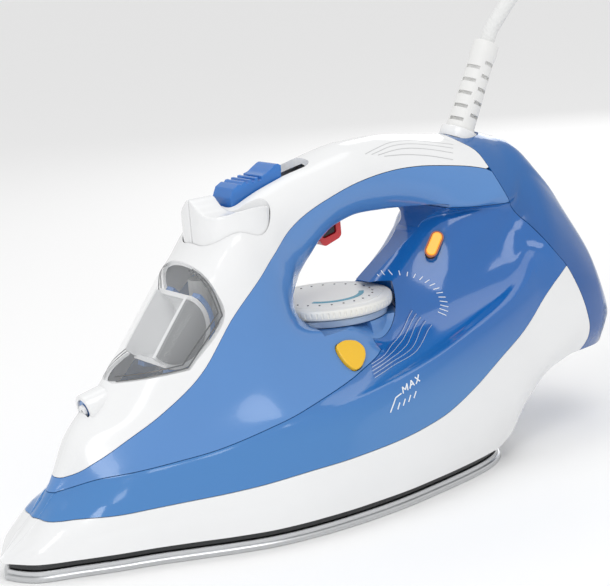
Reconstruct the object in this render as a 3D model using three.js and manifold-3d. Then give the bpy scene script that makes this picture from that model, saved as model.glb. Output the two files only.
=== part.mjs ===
// A corded steam iron, in millimetres. +X runs from the nose to the heel, +Z is up and the ironing
// face lies in Z = 0. The iron is symmetric about Y = 0 apart from the lamp and the flushing button.
// The body is a loft through long rails; its mouldings are cut out of that loft along parting lines.
import * as THREE from "three";
import { mergeVertices } from "three/addons/utils/BufferGeometryUtils.js";
import Module from "manifold-3d";

const wasm = await Module();
wasm.setup();

// ---- driving dimensions ------------------------------------------------------------------------
const WALL = 2.6; // moulding thickness
const SEAM = 0.3; // gap between neighbouring mouldings
const DIAL = { x: 20.5, radius: 29, seat: 75.6, bottom: 79.4, top: 84.6 };
const DIAL_SLOT = { radius: 30.3, top: 87.4 };
const PEDESTAL_RADIUS = 30;
const CORD_DIAMETER = 7;
const BOOT = { x: 102.5, z: 145.6, lean: 27.5, length: 45 };
const COIL = { x: 277, inner: 31.5, middle: 38.5, outer: 45.5, height: 28.8, shoulder: 26.8 };
const FLUSH = { x: 5.5, y: -36.5, z: 66.5 };
const LAMP = { x: 68, y: -19.5, z: 101.5 };
const NOZZLE = { x: -106, z: 61.5, lean: 12, radius: 6.6 };

// Rails of the outer body: each row is x, half width, height. They run from the underside to the
// crest of the handle, in the order in which a cross-section meets them.
const KEEL = [[-151, 0, 8], [80, 0, 8], [88, 0, 14], [97, 0, 24], [112, 0, 36], [125, 0, 40],
  [150, 0, 40.3], [158, 0, 42.8], [160.5, 0, 47]];
const SKIRT_EDGE = [[-151, 1.5, 8], [-141, 14.5, 8], [-127, 22, 8], [-112, 29, 8], [-97, 35, 8],
  [-82, 42, 8], [-67, 49.3, 8], [-51, 55.3, 8], [-33, 58.4, 8], [-13, 59.7, 8], [8, 59.2, 8],
  [33, 56, 8], [61, 50.3, 8], [74, 46.5, 8], [84, 43.5, 10.5], [97, 42.5, 24.3], [112, 42.5, 36.3],
  [118, 42.3, 38.3], [130, 41, 40.5], [145, 38.5, 40.5], [155, 33, 41.8], [160.5, 24, 46.8]];
const SKIRT_LINE = [[-151, 1.2, 8.3], [-141, 13, 14.5], [-127, 20.5, 18.5], [-112, 28, 19],
  [-97, 34, 19], [-67, 48.6, 19], [-51, 54.8, 19], [-33, 58.2, 19], [-13, 59.8, 19], [8, 59.7, 19],
  [33, 57.2, 20], [61, 52.6, 22], [84, 48.8, 29.5], [100, 47.5, 39], [118, 46.8, 47.5],
  [130, 45.5, 49], [145, 43, 49], [155, 36.5, 49.5], [160.5, 26, 49.3]];
const FLANK = [[-151, 0.9, 8.6], [-141, 8, 16], [-127, 12.5, 26.5], [-112, 24, 27.5], [-97, 30.8, 28],
  [-67, 44.8, 30], [-51, 51, 31.5], [-33, 55.2, 33], [-13, 57.8, 35], [8, 58.6, 37], [33, 57, 41],
  [61, 53.8, 46], [84, 50.8, 52], [100, 48.8, 58], [118, 47.5, 64], [130, 47, 63], [145, 44.5, 58],
  [155, 38.3, 54.5], [160.5, 25.8, 51.8]];
const RIDGE = [[-151, 0.7, 8.9], [-141, 4, 16.9], [-137, 3.8, 20], [-125, 4.5, 31.6], [-112, 16, 35],
  [-97, 26, 36.8], [-82, 33.5, 38.5], [-67, 40.8, 41], [-51, 46.6, 44.5], [-33, 51.3, 47.5],
  [-13, 54.5, 50.5], [8, 56, 54.8], [33, 55.6, 60.4], [61, 53.4, 68.5], [84, 50.5, 75.5],
  [98, 47.5, 82], [108, 44.5, 89], [118, 45.5, 85], [130, 45, 80], [145, 43.3, 69], [155, 37.5, 60],
  [160.5, 25.2, 53.2]];
const DISH_EDGE = [[-151, 0.6, 9], [-141, 3.8, 17.1], [-137, 3.6, 20.2], [-125, 4.3, 32.1],
  [-112, 15, 36], [-97, 25, 38], [-82, 32.5, 40], [-67, 39.7, 42.6], [-51, 45.4, 46.6],
  [-33, 49.6, 50], [-13, 51.6, 52.8], [8, 51.2, 56.4], [28, 49.5, 60], [44, 48.6, 64], [61, 47, 69.6],
  [84, 43.5, 78], [98, 39.5, 86.5], [108, 36.5, 95], [118, 42, 97], [130, 42.5, 90], [145, 41.5, 76],
  [155, 36, 63.5], [160.5, 24, 54.2]];
const FIN_FOOT = [[-151, 0.5, 9.1], [-141, 3.6, 17.2], [-137, 3.4, 20.3], [-125, 3.9, 32.4],
  [-112, 13.6, 38.5], [-97, 23.6, 41.5], [-82, 30.6, 44.5], [-67, 37.6, 47], [-51, 43.2, 50.5],
  [-33, 48, 52.5], [-15, 46.8, 55.8], [-2, 44.6, 58.8], [12, 40.4, 62.2], [28, 40.5, 63.2],
  [44, 39.8, 67], [61, 38.6, 73], [84, 35.2, 83], [98, 33.3, 93], [108, 32.5, 102.5],
  [118, 38.5, 106], [130, 39.5, 98], [145, 39.3, 82], [155, 34, 66.5], [160.5, 22.4, 55]];
const FIN_LOW = [[-151, 0.45, 9.2], [-137, 3.1, 20.4], [-125, 3.6, 32.6], [-112, 11.2, 45],
  [-97, 19.8, 49.5], [-82, 26, 55], [-67, 31.5, 58.5], [-51, 35.5, 62], [-33, 38.5, 64],
  [-15, 38, 66], [-2, 36.2, 67.5], [12, 33.5, 69], [28, 31.6, 66.2], [44, 31, 70.5], [61, 30, 78.5],
  [84, 29, 90], [98, 29.5, 99.5], [108, 29.5, 107.5], [118, 35, 113.5], [130, 36.5, 104.5],
  [145, 37, 86.8], [155, 31.5, 68.8], [160.5, 20.5, 55.6]];
const FIN_MID = [[-151, 0.4, 9.3], [-137, 2.8, 20.5], [-125, 3.4, 32.8], [-112, 8.6, 50.5],
  [-97, 15.5, 57], [-82, 21.8, 63.5], [-67, 26.5, 72.5], [-51, 29.4, 77], [-33, 31, 78.5],
  [-20, 30.6, 78.5], [-8, 29, 77.5], [12, 27.6, 75.6], [28, 26.4, 71], [44, 22.5, 76.5],
  [61, 22, 86.5], [76, 23.5, 98], [88, 26.2, 106], [98, 27.6, 110.5], [108, 28.8, 113.5],
  [118, 32.5, 119], [130, 34, 109.5], [145, 34.5, 90.5], [155, 29, 70.5], [160.5, 18.4, 56]];
const FIN_HIGH = [[-151, 0.35, 9.4], [-137, 2.4, 20.6], [-125, 3.1, 33], [-112, 6.2, 52.8],
  [-97, 11.4, 61.3], [-82, 18, 71], [-67, 22.8, 81], [-51, 26.3, 88.5], [-33, 27.6, 91],
  [-20, 26.4, 88], [-10, 22.5, 82], [-2, 20, 78], [12, 20, 75.8], [28, 20, 75.5], [44, 12.5, 84],
  [61, 11.5, 97.5], [70, 13, 105.5], [78, 18.5, 110.5], [88, 24, 112.8], [98, 27, 113.4],
  [108, 29.4, 115.6], [118, 30, 123.5], [130, 31.5, 113.8], [145, 31.5, 93.8], [155, 26.3, 71.8],
  [160.5, 16.2, 56.3]];
const WEB_LOW = [[-151, 0.3, 9.5], [-137, 2.1, 20.7], [-125, 2.9, 33.2], [-112, 4.8, 54],
  [-97, 8.6, 64.5], [-82, 14.6, 76], [-67, 19.2, 88.6], [-51, 23.4, 99], [-33, 25.4, 102.5],
  [-20, 24.2, 97], [-10, 18.5, 88], [-2, 7, 84], [4, 5, 82], [28, 5, 82], [44, 5, 89.5],
  [61, 5, 101.5], [70, 7, 109.8], [78, 15.5, 113.2], [88, 22.8, 114], [98, 27.4, 114.3],
  [108, 30, 117.2], [118, 27.8, 127.2], [130, 29, 117.5], [145, 28.5, 96.3], [155, 23.3, 72.9],
  [160.5, 14, 56.5]];
const WEB_HIGH = [[-151, 0.25, 9.6], [-137, 1.8, 20.75], [-125, 2.6, 33.4], [-112, 3.9, 54.6],
  [-97, 6.6, 66.4], [-82, 11.4, 79.3], [-67, 15.8, 93.3], [-51, 20.8, 105.8], [-33, 24.4, 111.5],
  [-20, 22.8, 106], [-10, 18.6, 96], [-2, 7, 93], [4, 5, 99], [12, 5, 109], [22, 5, 115.5],
  [34, 5.4, 119], [50, 5.6, 118.6], [62, 8, 117.8], [70, 12.5, 116.4], [78, 20.5, 115.6],
  [88, 25.4, 115.2], [98, 28.8, 116], [108, 30, 119], [118, 26, 131], [130, 26.8, 121],
  [145, 25.2, 98.3], [155, 20, 73.7], [160.5, 11.7, 56.65]];
const GRIP_LOW = [[-151, 0.2, 9.7], [-137, 1.5, 20.8], [-125, 2.2, 33.6], [-112, 3.2, 55],
  [-97, 5, 67.6], [-82, 8.6, 81.8], [-67, 12.6, 96.5], [-51, 18, 109.8], [-33, 23, 118.6],
  [-20, 22.4, 115], [-10, 19, 106], [-2, 13.8, 103.5], [4, 12.2, 107], [12, 12, 114],
  [22, 11.8, 119.2], [34, 11.8, 121.4], [50, 12.4, 120.9], [62, 15.4, 120], [70, 18.8, 118.6],
  [78, 24, 117.4], [88, 27.8, 117], [98, 29.6, 118.6], [108, 29.2, 122.5], [118, 23.4, 134.2],
  [130, 23.6, 123.8], [145, 21.5, 100], [155, 16.5, 74.2], [160.5, 9.4, 56.78]];
const GRIP_SIDE = [[-151, 0.15, 9.8], [-137, 1.2, 20.9], [-125, 1.7, 33.8], [-112, 2.4, 55.3],
  [-97, 3.7, 68.4], [-82, 6.2, 83.7], [-67, 9.6, 98.9], [-51, 14.8, 112.6], [-33, 20.8, 124.4],
  [-20, 21, 124], [-10, 19.6, 119], [-2, 18.2, 115.6], [4, 17.6, 117.6], [12, 17.2, 122.4],
  [22, 17.2, 126.6], [34, 17.2, 128.2], [50, 17.6, 127.6], [62, 19.4, 126.4], [70, 21.4, 125],
  [78, 24.4, 124], [88, 26.8, 123.2], [98, 27.6, 124.4], [108, 25.8, 128.4], [118, 19.8, 137.6],
  [130, 19.4, 126.4], [145, 17, 101.5], [155, 12.5, 74.6], [160.5, 7, 56.87]];
const GRIP_HIGH = [[-151, 0.1, 9.9], [-137, 0.9, 20.95], [-125, 1.2, 33.9], [-112, 1.6, 55.5],
  [-97, 2.5, 69], [-82, 4.2, 84.9], [-67, 6.8, 100.5], [-51, 11, 114.4], [-33, 16.5, 128.6],
  [-20, 18, 131.4], [-10, 18, 132], [-2, 18, 131.8], [12, 17.8, 135.4], [22, 17.8, 137.6],
  [34, 17.8, 139], [50, 18, 138.8], [62, 19, 137.6], [78, 21.8, 135], [88, 23, 133.2],
  [98, 22.8, 132.8], [108, 20, 136], [118, 14.2, 140.6], [130, 13.2, 128.5], [145, 11.5, 102.5],
  [155, 8.5, 74.85], [160.5, 4.6, 56.94]];
const SHOULDER = [[-151, 0.05, 9.95], [-137, 0.5, 21], [-125, 0.7, 34], [-112, 0.9, 55.6],
  [-97, 1.4, 69.3], [-82, 2.4, 85.6], [-67, 4, 101.4], [-51, 6.4, 115.8], [-33, 10, 131.8],
  [-20, 12, 137], [-10, 12.4, 139.8], [-2, 12.8, 141.6], [12, 12.8, 144.2], [22, 12.8, 146.2],
  [34, 12.8, 147.8], [50, 12.8, 147.8], [62, 13.2, 146.8], [78, 14.4, 144.4], [88, 14.8, 142.8],
  [98, 14.4, 141.6], [108, 12.4, 142.6], [118, 7.8, 142.3], [130, 7, 129.3], [145, 6, 102.9],
  [155, 4.2, 75], [160.5, 2.2, 56.98]];
const CREST = [[-151, 0, 10], [-137, 0, 21.05], [-125, 0, 34.1], [-112, 0, 55.7], [-97, 0, 69.5],
  [-82, 0, 86], [-67, 0, 102], [-51, 0, 116.5], [-46, 0, 122], [-33, 0, 133.5], [-20, 0, 139.6],
  [-10, 0, 142.8], [-2, 0, 145], [12, 0, 148], [22, 0, 150.4], [34, 0, 152.2], [50, 0, 152.4],
  [62, 0, 151.4], [78, 0, 149.2], [88, 0, 147.8], [98, 0, 146.4], [108, 0, 146], [118, 0, 143],
  [124, 0, 137.3], [130, 0, 129.5], [137, 0, 118.5], [145, 0, 103], [151, 0, 88.5], [155, 0, 75],
  [160.5, 0, 57]];
const RAILS = [SKIRT_EDGE, SKIRT_LINE, FLANK, RIDGE, DISH_EDGE, FIN_FOOT, FIN_LOW, FIN_MID, FIN_HIGH,
  WEB_LOW, WEB_HIGH, GRIP_LOW, GRIP_SIDE, GRIP_HIGH, SHOULDER];
const STATIONS = [-151, -141, -125, -112, -97, -82, -67, -51, -36, -24, -14, -6, 0, 8, 22, 36, 52, 68,
  78, 88, 98, 108, 118, 130, 142, 154, 160.5];

// Parting lines and openings, as x, z points seen from the side.
const TANK_LINE = [[-160, 21.5], [-124.5, 23.5], [-105, 23.5], [-81, 25], [-66, 26], [-36, 28.5],
  [-15, 29.5], [8, 31], [26, 33], [41, 36], [59, 43], [76, 52], [92.5, 61], [110.5, 75], [124, 83.7]];
const FIN_LINE = [[-160, 31], [-125, 32], [-112, 36.2], [-97, 38.2], [-82, 40.3], [-67, 42.9],
  [-51, 46.9], [-33, 51.4], [-15, 55.5], [-2, 58.5], [12, 62]];
const COVER_LINE = [[-160, 36.5], [-121, 37.5], [-110, 43], [-98, 50], [-84, 58], [-73, 65.5], [-62, 74.5],
  [-47, 91], [-30, 105.5], [-10, 121.5], [0, 127], [14, 132], [29, 136], [47.5, 138.2], [62.5, 138],
  [75, 136.5], [89, 134], [98, 131.5], [112, 126]];
const HEEL_LINE = [[90, 152], [92, 146], [98, 139.5], [100, 132], [103, 121], [106, 115], [112, 104.5],
  [118, 92.5], [124.5, 83.5], [130, 72], [134, 60.5], [136.5, 51], [135.5, 43], [128, 36]];
const HAND_HOLE = [[-3.5, 75.6], [-3.8, 80], [-3, 86], [-0.8, 92], [1.8, 98], [5, 105], [9.5, 111],
  [15, 115.5], [24, 119.2], [36, 120.8], [50, 120], [62, 119.8], [71, 119.5], [76, 118.3], [74.5, 114.5],
  [70, 109], [64, 103.5], [57, 98.4], [50, 94], [42, 88.5], [36, 84], [30, 75.6]];
const DOOR = [[-94, 71], [-68, 74.6], [-49, 93.5], [-50.5, 105], [-54, 117.5],
  [-58, 124], [-104, 84]];

// ---- helpers -----------------------------------------------------------------------------------
function solid(geometry) {
  const bare = new THREE.BufferGeometry();
  bare.setAttribute("position", geometry.getAttribute("position"));
  if (geometry.index) bare.setIndex(geometry.index);
  const merged = mergeVertices(bare, 1e-4);
  const mesh = new wasm.Mesh({
    numProp: 3,
    vertProperties: new Float32Array(merged.attributes.position.array),
    triVerts: new Uint32Array(merged.index.array),
  });
  return new wasm.Manifold(mesh);
}

function surface(body) {
  const mesh = body.getMesh();
  const positions = new Float32Array(mesh.numVert * 3);
  for (let i = 0; i < mesh.numVert; i++) {
    for (let k = 0; k < 3; k++) positions[3 * i + k] = mesh.vertProperties[i * mesh.numProp + k];
  }
  const geometry = new THREE.BufferGeometry();
  geometry.setAttribute("position", new THREE.BufferAttribute(positions, 3));
  geometry.setIndex(new THREE.BufferAttribute(new Uint32Array(mesh.triVerts), 1));
  return geometry;
}

function union(...bodies) {
  return bodies.reduce((a, b) => a.add(b));
}

function outline(points) {
  return new THREE.Shape(points.map(([x, y]) => new THREE.Vector2(x, y)));
}

// An x, z outline carried across the iron between two y values.
function slab(points, y0 = -90, y1 = 90) {
  const geometry = new THREE.ExtrudeGeometry(outline(points), { depth: y1 - y0, bevelEnabled: false });
  geometry.rotateX(Math.PI / 2);
  geometry.translate(0, y1, 0);
  return solid(geometry);
}

// An x, y outline carried upwards between two z values.
function plate(points, z0, z1) {
  const geometry = new THREE.ExtrudeGeometry(outline(points), { depth: z1 - z0, bevelEnabled: false });
  geometry.translate(0, 0, z0);
  return solid(geometry);
}

function box(x0, x1, y0, y1, z0, z1) {
  const geometry = new THREE.BoxGeometry(x1 - x0, y1 - y0, z1 - z0);
  geometry.translate((x0 + x1) / 2, (y0 + y1) / 2, (z0 + z1) / 2);
  return solid(geometry);
}

// A turned body about its own +Z axis; the profile rows are radius, height.
function turned(profile, sides = 24) {
  const points = profile.map(([r, z]) => new THREE.Vector2(r, z));
  const geometry = new THREE.LatheGeometry(points, sides);
  geometry.rotateX(Math.PI / 2);
  const made = solid(geometry);
  return made.volume() > 0 ? made : solid(flipped(geometry));
}

function flipped(geometry) {
  const index = geometry.index.array;
  for (let i = 0; i < index.length; i += 3) {
    [index[i + 1], index[i + 2]] = [index[i + 2], index[i + 1]];
  }
  return geometry;
}

function rod(radius, z0, z1, sides = 16) {
  return turned([[0, z0], [radius, z0], [radius, z1], [0, z1]], sides);
}

// Turns a body built on +Z so that its axis points along a direction, then moves it to a point.
function aimed(body, direction, [x, y, z]) {
  const axis = new THREE.Vector3(...direction).normalize();
  const turn = new THREE.Quaternion().setFromUnitVectors(new THREE.Vector3(0, 0, 1), axis);
  const matrix = new THREE.Matrix4().makeRotationFromQuaternion(turn).setPosition(x, y, z);
  return body.transform(matrix.toArray());
}

function lean(degrees) {
  const angle = THREE.MathUtils.degToRad(degrees);
  return [Math.sin(angle), 0, Math.cos(angle)];
}

// Piecewise-cubic interpolation of rows x, a, b that never overshoots its points.
function follow(rows, x) {
  const last = rows.length - 1;
  const at = Math.min(Math.max(x, rows[0][0]), rows[last][0]);
  let i = 0;
  while (i < last - 1 && at > rows[i + 1][0]) i++;
  const slope = (k, c) => (rows[k + 1][c] - rows[k][c]) / (rows[k + 1][0] - rows[k][0]);
  const tangent = (k, c) => {
    if (k === 0) return slope(0, c);
    if (k === last) return slope(last - 1, c);
    const [a, b] = [slope(k - 1, c), slope(k, c)];
    return a * b <= 0 ? 0 : (2 * a * b) / (a + b);
  };
  const step = rows[i + 1][0] - rows[i][0];
  const t = (at - rows[i][0]) / step;
  return [1, 2].map((c) => {
    const [p, q] = [rows[i][c], rows[i + 1][c]];
    const [m, n] = [tangent(i, c) * step, tangent(i + 1, c) * step];
    return p + t * (m + t * (3 * (q - p) - 2 * m - n + t * (2 * (p - q) + m + n)));
  });
}

// ---- the body loft -----------------------------------------------------------------------------
function halfSection(x) {
  return [[0, follow(KEEL, x)[1]], ...RAILS.map((rail) => follow(rail, x)), [0, follow(CREST, x)[1]]];
}

// The same section moved inwards by the wall thickness; below the water tank it stays open.
function insetSection(x) {
  const rear = THREE.MathUtils.smoothstep(x, 112, 150);
  const section = halfSection(x + 2.4 * rear);
  const last = section.length - 1;
  const open = 1 - THREE.MathUtils.smoothstep(x, 80, 92);
  return section.map(([w, z], i) => {
    if (i === 0) return [0, z + WALL - 8 * open];
    if (i === last) return [0, z - WALL];
    const [wa, za] = section[i - 1];
    const [wb, zb] = section[i + 1];
    const length = Math.hypot(wb - wa, zb - za) || 1;
    const inward = [(-WALL * (zb - za)) / length, (WALL * (wb - wa)) / length];
    const drop = i === 1 ? WALL - 8 * open : inward[1];
    return [Math.max(w + inward[0], 0.3 + 0.02 * (last - i)), z + drop];
  });
}

function loft(stations, sectionAt) {
  const rings = stations.map((x) => {
    const half = sectionAt(x);
    const left = half.map(([w, z]) => [x, -w, z]);
    const right = half.slice(1, -1).reverse().map(([w, z]) => [x, w, z]);
    return [...left, ...right];
  });
  const count = rings[0].length;
  const positions = rings.flat(2);
  const index = [];
  for (let s = 0; s < rings.length - 1; s++) {
    for (let i = 0; i < count; i++) {
      const j = (i + 1) % count;
      const [a, b, c, d] = [s * count + i, s * count + j, (s + 1) * count + j, (s + 1) * count + i];
      if (i < count / 2) index.push(a, d, b, b, d, c);
      else index.push(a, d, c, a, c, b);
    }
  }
  for (const [s, turn] of [[0, 0], [rings.length - 1, 1]]) {
    const ends = [];
    for (let i = 0; i < count; i++) ends.push(s * count + i);
    for (let i = 0; i < count / 2 - 1; i++) {
      const [a, b] = [ends[i], ends[i + 1]];
      const [c, d] = [ends[(count - i - 1) % count], ends[(count - i) % count]];
      const faces = i === 0 ? [[a, b, c]] : [[a, b, c], [a, c, d]];
      for (const [p, q, r] of faces) index.push(...(turn ? [p, r, q] : [p, q, r]));
    }
    const [top, left, right] = [ends[count / 2], ends[count / 2 - 1], ends[count / 2 + 1]];
    index.push(...(turn ? [top, left, right] : [top, right, left]));
  }
  const geometry = new THREE.BufferGeometry();
  geometry.setAttribute("position", new THREE.BufferAttribute(new Float32Array(positions), 3));
  geometry.setIndex(index);
  const made = solid(geometry);
  return made.volume() > 0 ? made : solid(flipped(geometry));
}

const OUTER = loft(STATIONS, halfSection);
const INNER_STATIONS = [-128, -112, -97, -82, -67, -51, -33, -14, 0, 14, 36, 58, 76, 92, 108, 120, 139, 157.6];
const INNER = loft(INNER_STATIONS, insetSection);

// ---- cutting shapes ----------------------------------------------------------------------------
function shifted(points, dx, dz) {
  return points.map(([x, z]) => [x + dx, z + dz]);
}

// Moves every corner of a closed outline outwards by a distance; negative moves inwards.
function grown(points, distance) {
  const count = points.length;
  const area = points.reduce((sum, [x, y], i) => {
    const [u, v] = points[(i + 1) % count];
    return sum + x * v - u * y;
  }, 0);
  const side = Math.sign(area) * distance;
  return points.map(([x, y], i) => {
    const [xa, ya] = points[(i + count - 1) % count];
    const [xb, yb] = points[(i + 1) % count];
    const [la, lb] = [Math.hypot(x - xa, y - ya), Math.hypot(xb - x, yb - y)];
    const [na, nb] = [[(y - ya) / la, (xa - x) / la], [(yb - y) / lb, (x - xb) / lb]];
    const [nx, ny] = [na[0] + nb[0], na[1] + nb[1]];
    const scale = (2 * side) / Math.max(nx * nx + ny * ny, 1);
    return [x + nx * scale, y + ny * scale];
  });
}

function dialCylinder(radius, z0, z1, sides = 36) {
  return rod(radius, z0, z1, sides).translate([DIAL.x, 0, 0]);
}

const handOpening = union(slab(HAND_HOLE), dialCylinder(DIAL_SLOT.radius, DIAL.seat, DIAL_SLOT.top));
const handOpeningInside = union(
  slab(grown(HAND_HOLE, WALL)),
  dialCylinder(DIAL_SLOT.radius + WALL, DIAL.seat - WALL, DIAL_SLOT.top + WALL),
);
const pedestal = turned([[0, 60], [33, 60], [31, 64], [29, 68.5], [27.6, 72.5], [27, DIAL.seat],
  [0, DIAL.seat]], 36).translate([DIAL.x, 0, 0]);
const hull = union(OUTER, pedestal.intersect(slab([[24, 50], [60, 50], [60, 90], [24, 90]])));
const skin = hull.subtract(handOpening).subtract(INNER.subtract(handOpeningInside));

// Lines that close the side view of each moulding.
const SHELF = [[22, 65], [22, 95], [40, 100], [60, 112], [73, 117], [78, 117], [90, 115.8], [106, 115]];
const HEEL_TOP = HEEL_LINE.filter(([, z]) => z > 131);
const HEEL_MIDDLE = HEEL_LINE.filter(([, z]) => z < 131 && z > 115);
const HEEL_SIDE = HEEL_LINE.filter(([, z]) => z < 115 && z > 84);
const HEEL_LOW = HEEL_LINE.filter(([, z]) => z <= 84);
const HALF = SEAM / 2;

function lowerRegion() {
  return [[-170, -5], ...shifted(TANK_LINE, 0, -HALF), ...shifted(HEEL_LOW, -HALF, 0), [120, -5]];
}

function tankRegion() {
  const top = [...shifted(FIN_LINE, 0, -HALF), ...shifted(SHELF, HALF, -HALF)];
  const right = shifted(HEEL_SIDE, -HALF, 0).reverse();
  return [...shifted(TANK_LINE, 0, HALF), ...right, ...top.reverse()];
}

function upperRegion() {
  const bottom = [...shifted(FIN_LINE, 0, HALF), ...shifted(SHELF, -HALF, HALF)];
  const top = shifted(COVER_LINE.filter(([x]) => x < 100), 0, -HALF);
  return [...bottom, ...shifted(HEEL_MIDDLE, -HALF, 0).reverse(), [100.2, 130.6], ...top.reverse()];
}

function coverRegion() {
  const bottom = shifted(COVER_LINE.filter(([x]) => x < 99), 0, HALF);
  return [...bottom, ...shifted(HEEL_TOP, -HALF, 0).reverse(), [90, 190], [-170, 190]];
}

function heelRegion() {
  return [[90, 190], ...shifted(HEEL_LINE, HALF, 0), [129, 20], [190, 20], [190, 190]];
}

// ---- mouldings of the body ---------------------------------------------------------------------
function lowerHousing() {
  return skin.intersect(slab(lowerRegion()));
}

function waterTank() {
  const foot = dialCylinder(PEDESTAL_RADIUS + SEAM, 55, 78);
  const side = box(DIAL.x, 60, -40, 40, 55, 78);
  const body = skin.intersect(slab(tankRegion())).subtract(foot.intersect(side));
  return body.subtract(lampShape(SEAM, -10)).subtract(flushShape(SEAM, -8));
}

function upperShell() {
  const foot = dialCylinder(PEDESTAL_RADIUS, 55, 78).intersect(box(DIAL.x, 60, -40, 40, 55, 78));
  const region = union(slab(upperRegion()), foot);
  const shaftHole = dialCylinder(3.4, 60, 80, 16);
  const triggerSlot = box(9.5, 28, -7.2, 7.2, 104, 126);
  return skin.intersect(region).subtract(shaftHole).subtract(triggerSlot).subtract(flushShape(SEAM, -8));
}

function nozzleAxis() {
  return lean(90 - NOZZLE.lean);
}

function topCover() {
  const tube = aimed(rod(NOZZLE.radius, 0, 10.5, 20), nozzleAxis(), [NOZZLE.x, 0, NOZZLE.z]);
  const bore = aimed(rod(4.6, -1, 6, 16), nozzleAxis(), [NOZZLE.x, 0, NOZZLE.z]);
  const pocket = plate(grown(BUTTONS_OUTLINE, 0.4), 115, 160);
  const slot = box(-31, 13, -8.6, 8.6, 125, 160);
  const body = union(skin.intersect(slab(coverRegion())), tube);
  return body.subtract(bore).subtract(pocket).subtract(slot).subtract(slab(DOOR));
}

function fillerDoor() {
  return skin.intersect(slab(grown(DOOR, -0.35))).intersect(slab(coverRegion()));
}

function heelCover() {
  const [x, z] = [BOOT.x, BOOT.z];
  const hole = aimed(rod(9, -14, 12, 24), lean(BOOT.lean), [x, 0, z]);
  return skin.intersect(slab(heelRegion())).subtract(hole);
}

// ---- sole and heating ----------------------------------------------------------------------------
const SOLE_SIDE = [[-147, 7], [-141.5, 14.2], [-127, 21], [-112, 28], [-97, 34], [-82, 41.2],
  [-67, 48.3], [-51.5, 54.3], [-33.5, 57.8], [-13.7, 59.2], [8, 58.7], [33, 55.4], [61, 49.8], [74, 45],
  [83, 38.5], [88.5, 29], [91, 15]];

// The plan of the sole, moved inwards all round, with a blunted nose.
function soleOutline(inset) {
  const side = SOLE_SIDE.map(([x, w]) => [Math.min(x, 91 - inset), w - 1.12 * inset]);
  const kept = side.filter(([, w]) => w > 2);
  const nose = [kept[0][0] - 0.43 * kept[0][1], 0];
  return [nose, ...kept.map(([x, w]) => [x, -w]), ...kept.reverse()];
}

function steamHoles() {
  const holes = [[-118, 0], [-104, 0]];
  for (const [x, y] of [[-92, 17], [-72, 26], [-50, 33], [-26, 37], [0, 38], [26, 35]]) {
    holes.push([x, y], [x, -y]);
  }
  return holes.map(([x, y]) => rod(1.6, -1, 6, 8).translate([x, y, 0]));
}

function soleplate() {
  const foot = plate(soleOutline(0), 0, 2.6);
  const step = plate(soleOutline(1.3), 2.6, 4.5);
  return steamHoles().reduce((body, hole) => body.subtract(hole), union(foot, step));
}

function heatShield() {
  const band = plate(soleOutline(2.4), 4.8, 7.7);
  const upstand = plate(soleOutline(9), 7.7, 13).intersect(box(-124, 90, -60, 60, 7, 14));
  return union(band, upstand).subtract(plate(soleOutline(13), 4, 14));
}

function steamChamber() {
  const block = plate(soleOutline(13.6), 4.8, 18);
  const dome = plate(soleOutline(22), 18, 20);
  return union(block, dome).intersect(box(-124, 90, -60, 60, 4, 21));
}

function tube(points, diameter, steps, sides = 10) {
  const circle = new THREE.Shape();
  circle.absarc(0, 0, diameter / 2, 0, 2 * Math.PI, false);
  const path = new THREE.CatmullRomCurve3(points.map((p) => new THREE.Vector3(...p)));
  return solid(new THREE.ExtrudeGeometry(circle, {
    steps,
    extrudePath: path,
    curveSegments: sides / 2,
    bevelEnabled: false,
  }));
}

function heatingElement() {
  const leg = [[62, 26], [20, 31], [-30, 29], [-75, 15], [-96, 5]];
  const left = leg.map(([x, y]) => [x, -y, 24]);
  const right = leg.map(([x, y]) => [x, y, 24]).reverse();
  return tube([...left, ...right], 6.6, 26, 8);
}

function tankFloor() {
  const side = FLANK.filter(([x]) => x > -110 && x < 80).map(([x, w]) => [x, w - 5]);
  const left = side.map(([x, w]) => [x, -w]);
  const right = side.map(([x, w]) => [x, w]).reverse();
  const well = dialCylinder(14, 25, 35, 24);
  return plate([...left, ...right], 28.6, 30.6).subtract(well);
}

function thermostat() {
  return union(dialCylinder(12.5, 20.4, 38, 24), dialCylinder(6, 38, 46, 16));
}

function thermalFuse() {
  return box(46, 66, -5, 5, 20.4, 26.5);
}

function terminalBlock() {
  return box(108, 126, -12, 12, 96, 108);
}

// ---- filler and spray nozzle ---------------------------------------------------------------------
const CUP = { x: -65.5, z: 88.5, radius: 16, half: 13.5 };

// A C-shaped outline about the cup's axis, open towards the nose and the top.
function arcOutline(inner, outer, from, to) {
  const points = [];
  const steps = 12;
  for (const [radius, a, b] of [[outer, from, to], [inner, to, from]]) {
    for (let i = 0; i <= steps; i++) {
      const angle = THREE.MathUtils.degToRad(a + ((b - a) * i) / steps);
      points.push([CUP.x + radius * Math.cos(angle), CUP.z + radius * Math.sin(angle)]);
    }
  }
  return points;
}

function fillerCup() {
  const { radius, half } = CUP;
  const wall = slab(arcOutline(radius - 2, radius, -118, 55), -half, half);
  const disc = arcOutline(0, radius - 1, 0, 330).slice(0, 13);
  const discs = union(slab(disc, -half, 2 - half), slab(disc, half - 2, half));
  return union(wall, discs.intersect(INNER.translate([0.5, 0, -0.5])));
}

function fillerRing(side) {
  const [y0, y1] = side < 0 ? [-CUP.half, -CUP.half + 5.6] : [CUP.half - 5.6, CUP.half];
  return slab(arcOutline(CUP.radius + 0.3, CUP.radius + 2.6, -110, 47), y0, y1);
}

function nozzleInsert() {
  return aimed(rod(4.3, 0.6, 5.7, 16), nozzleAxis(), [NOZZLE.x, 0, NOZZLE.z]);
}

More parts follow.
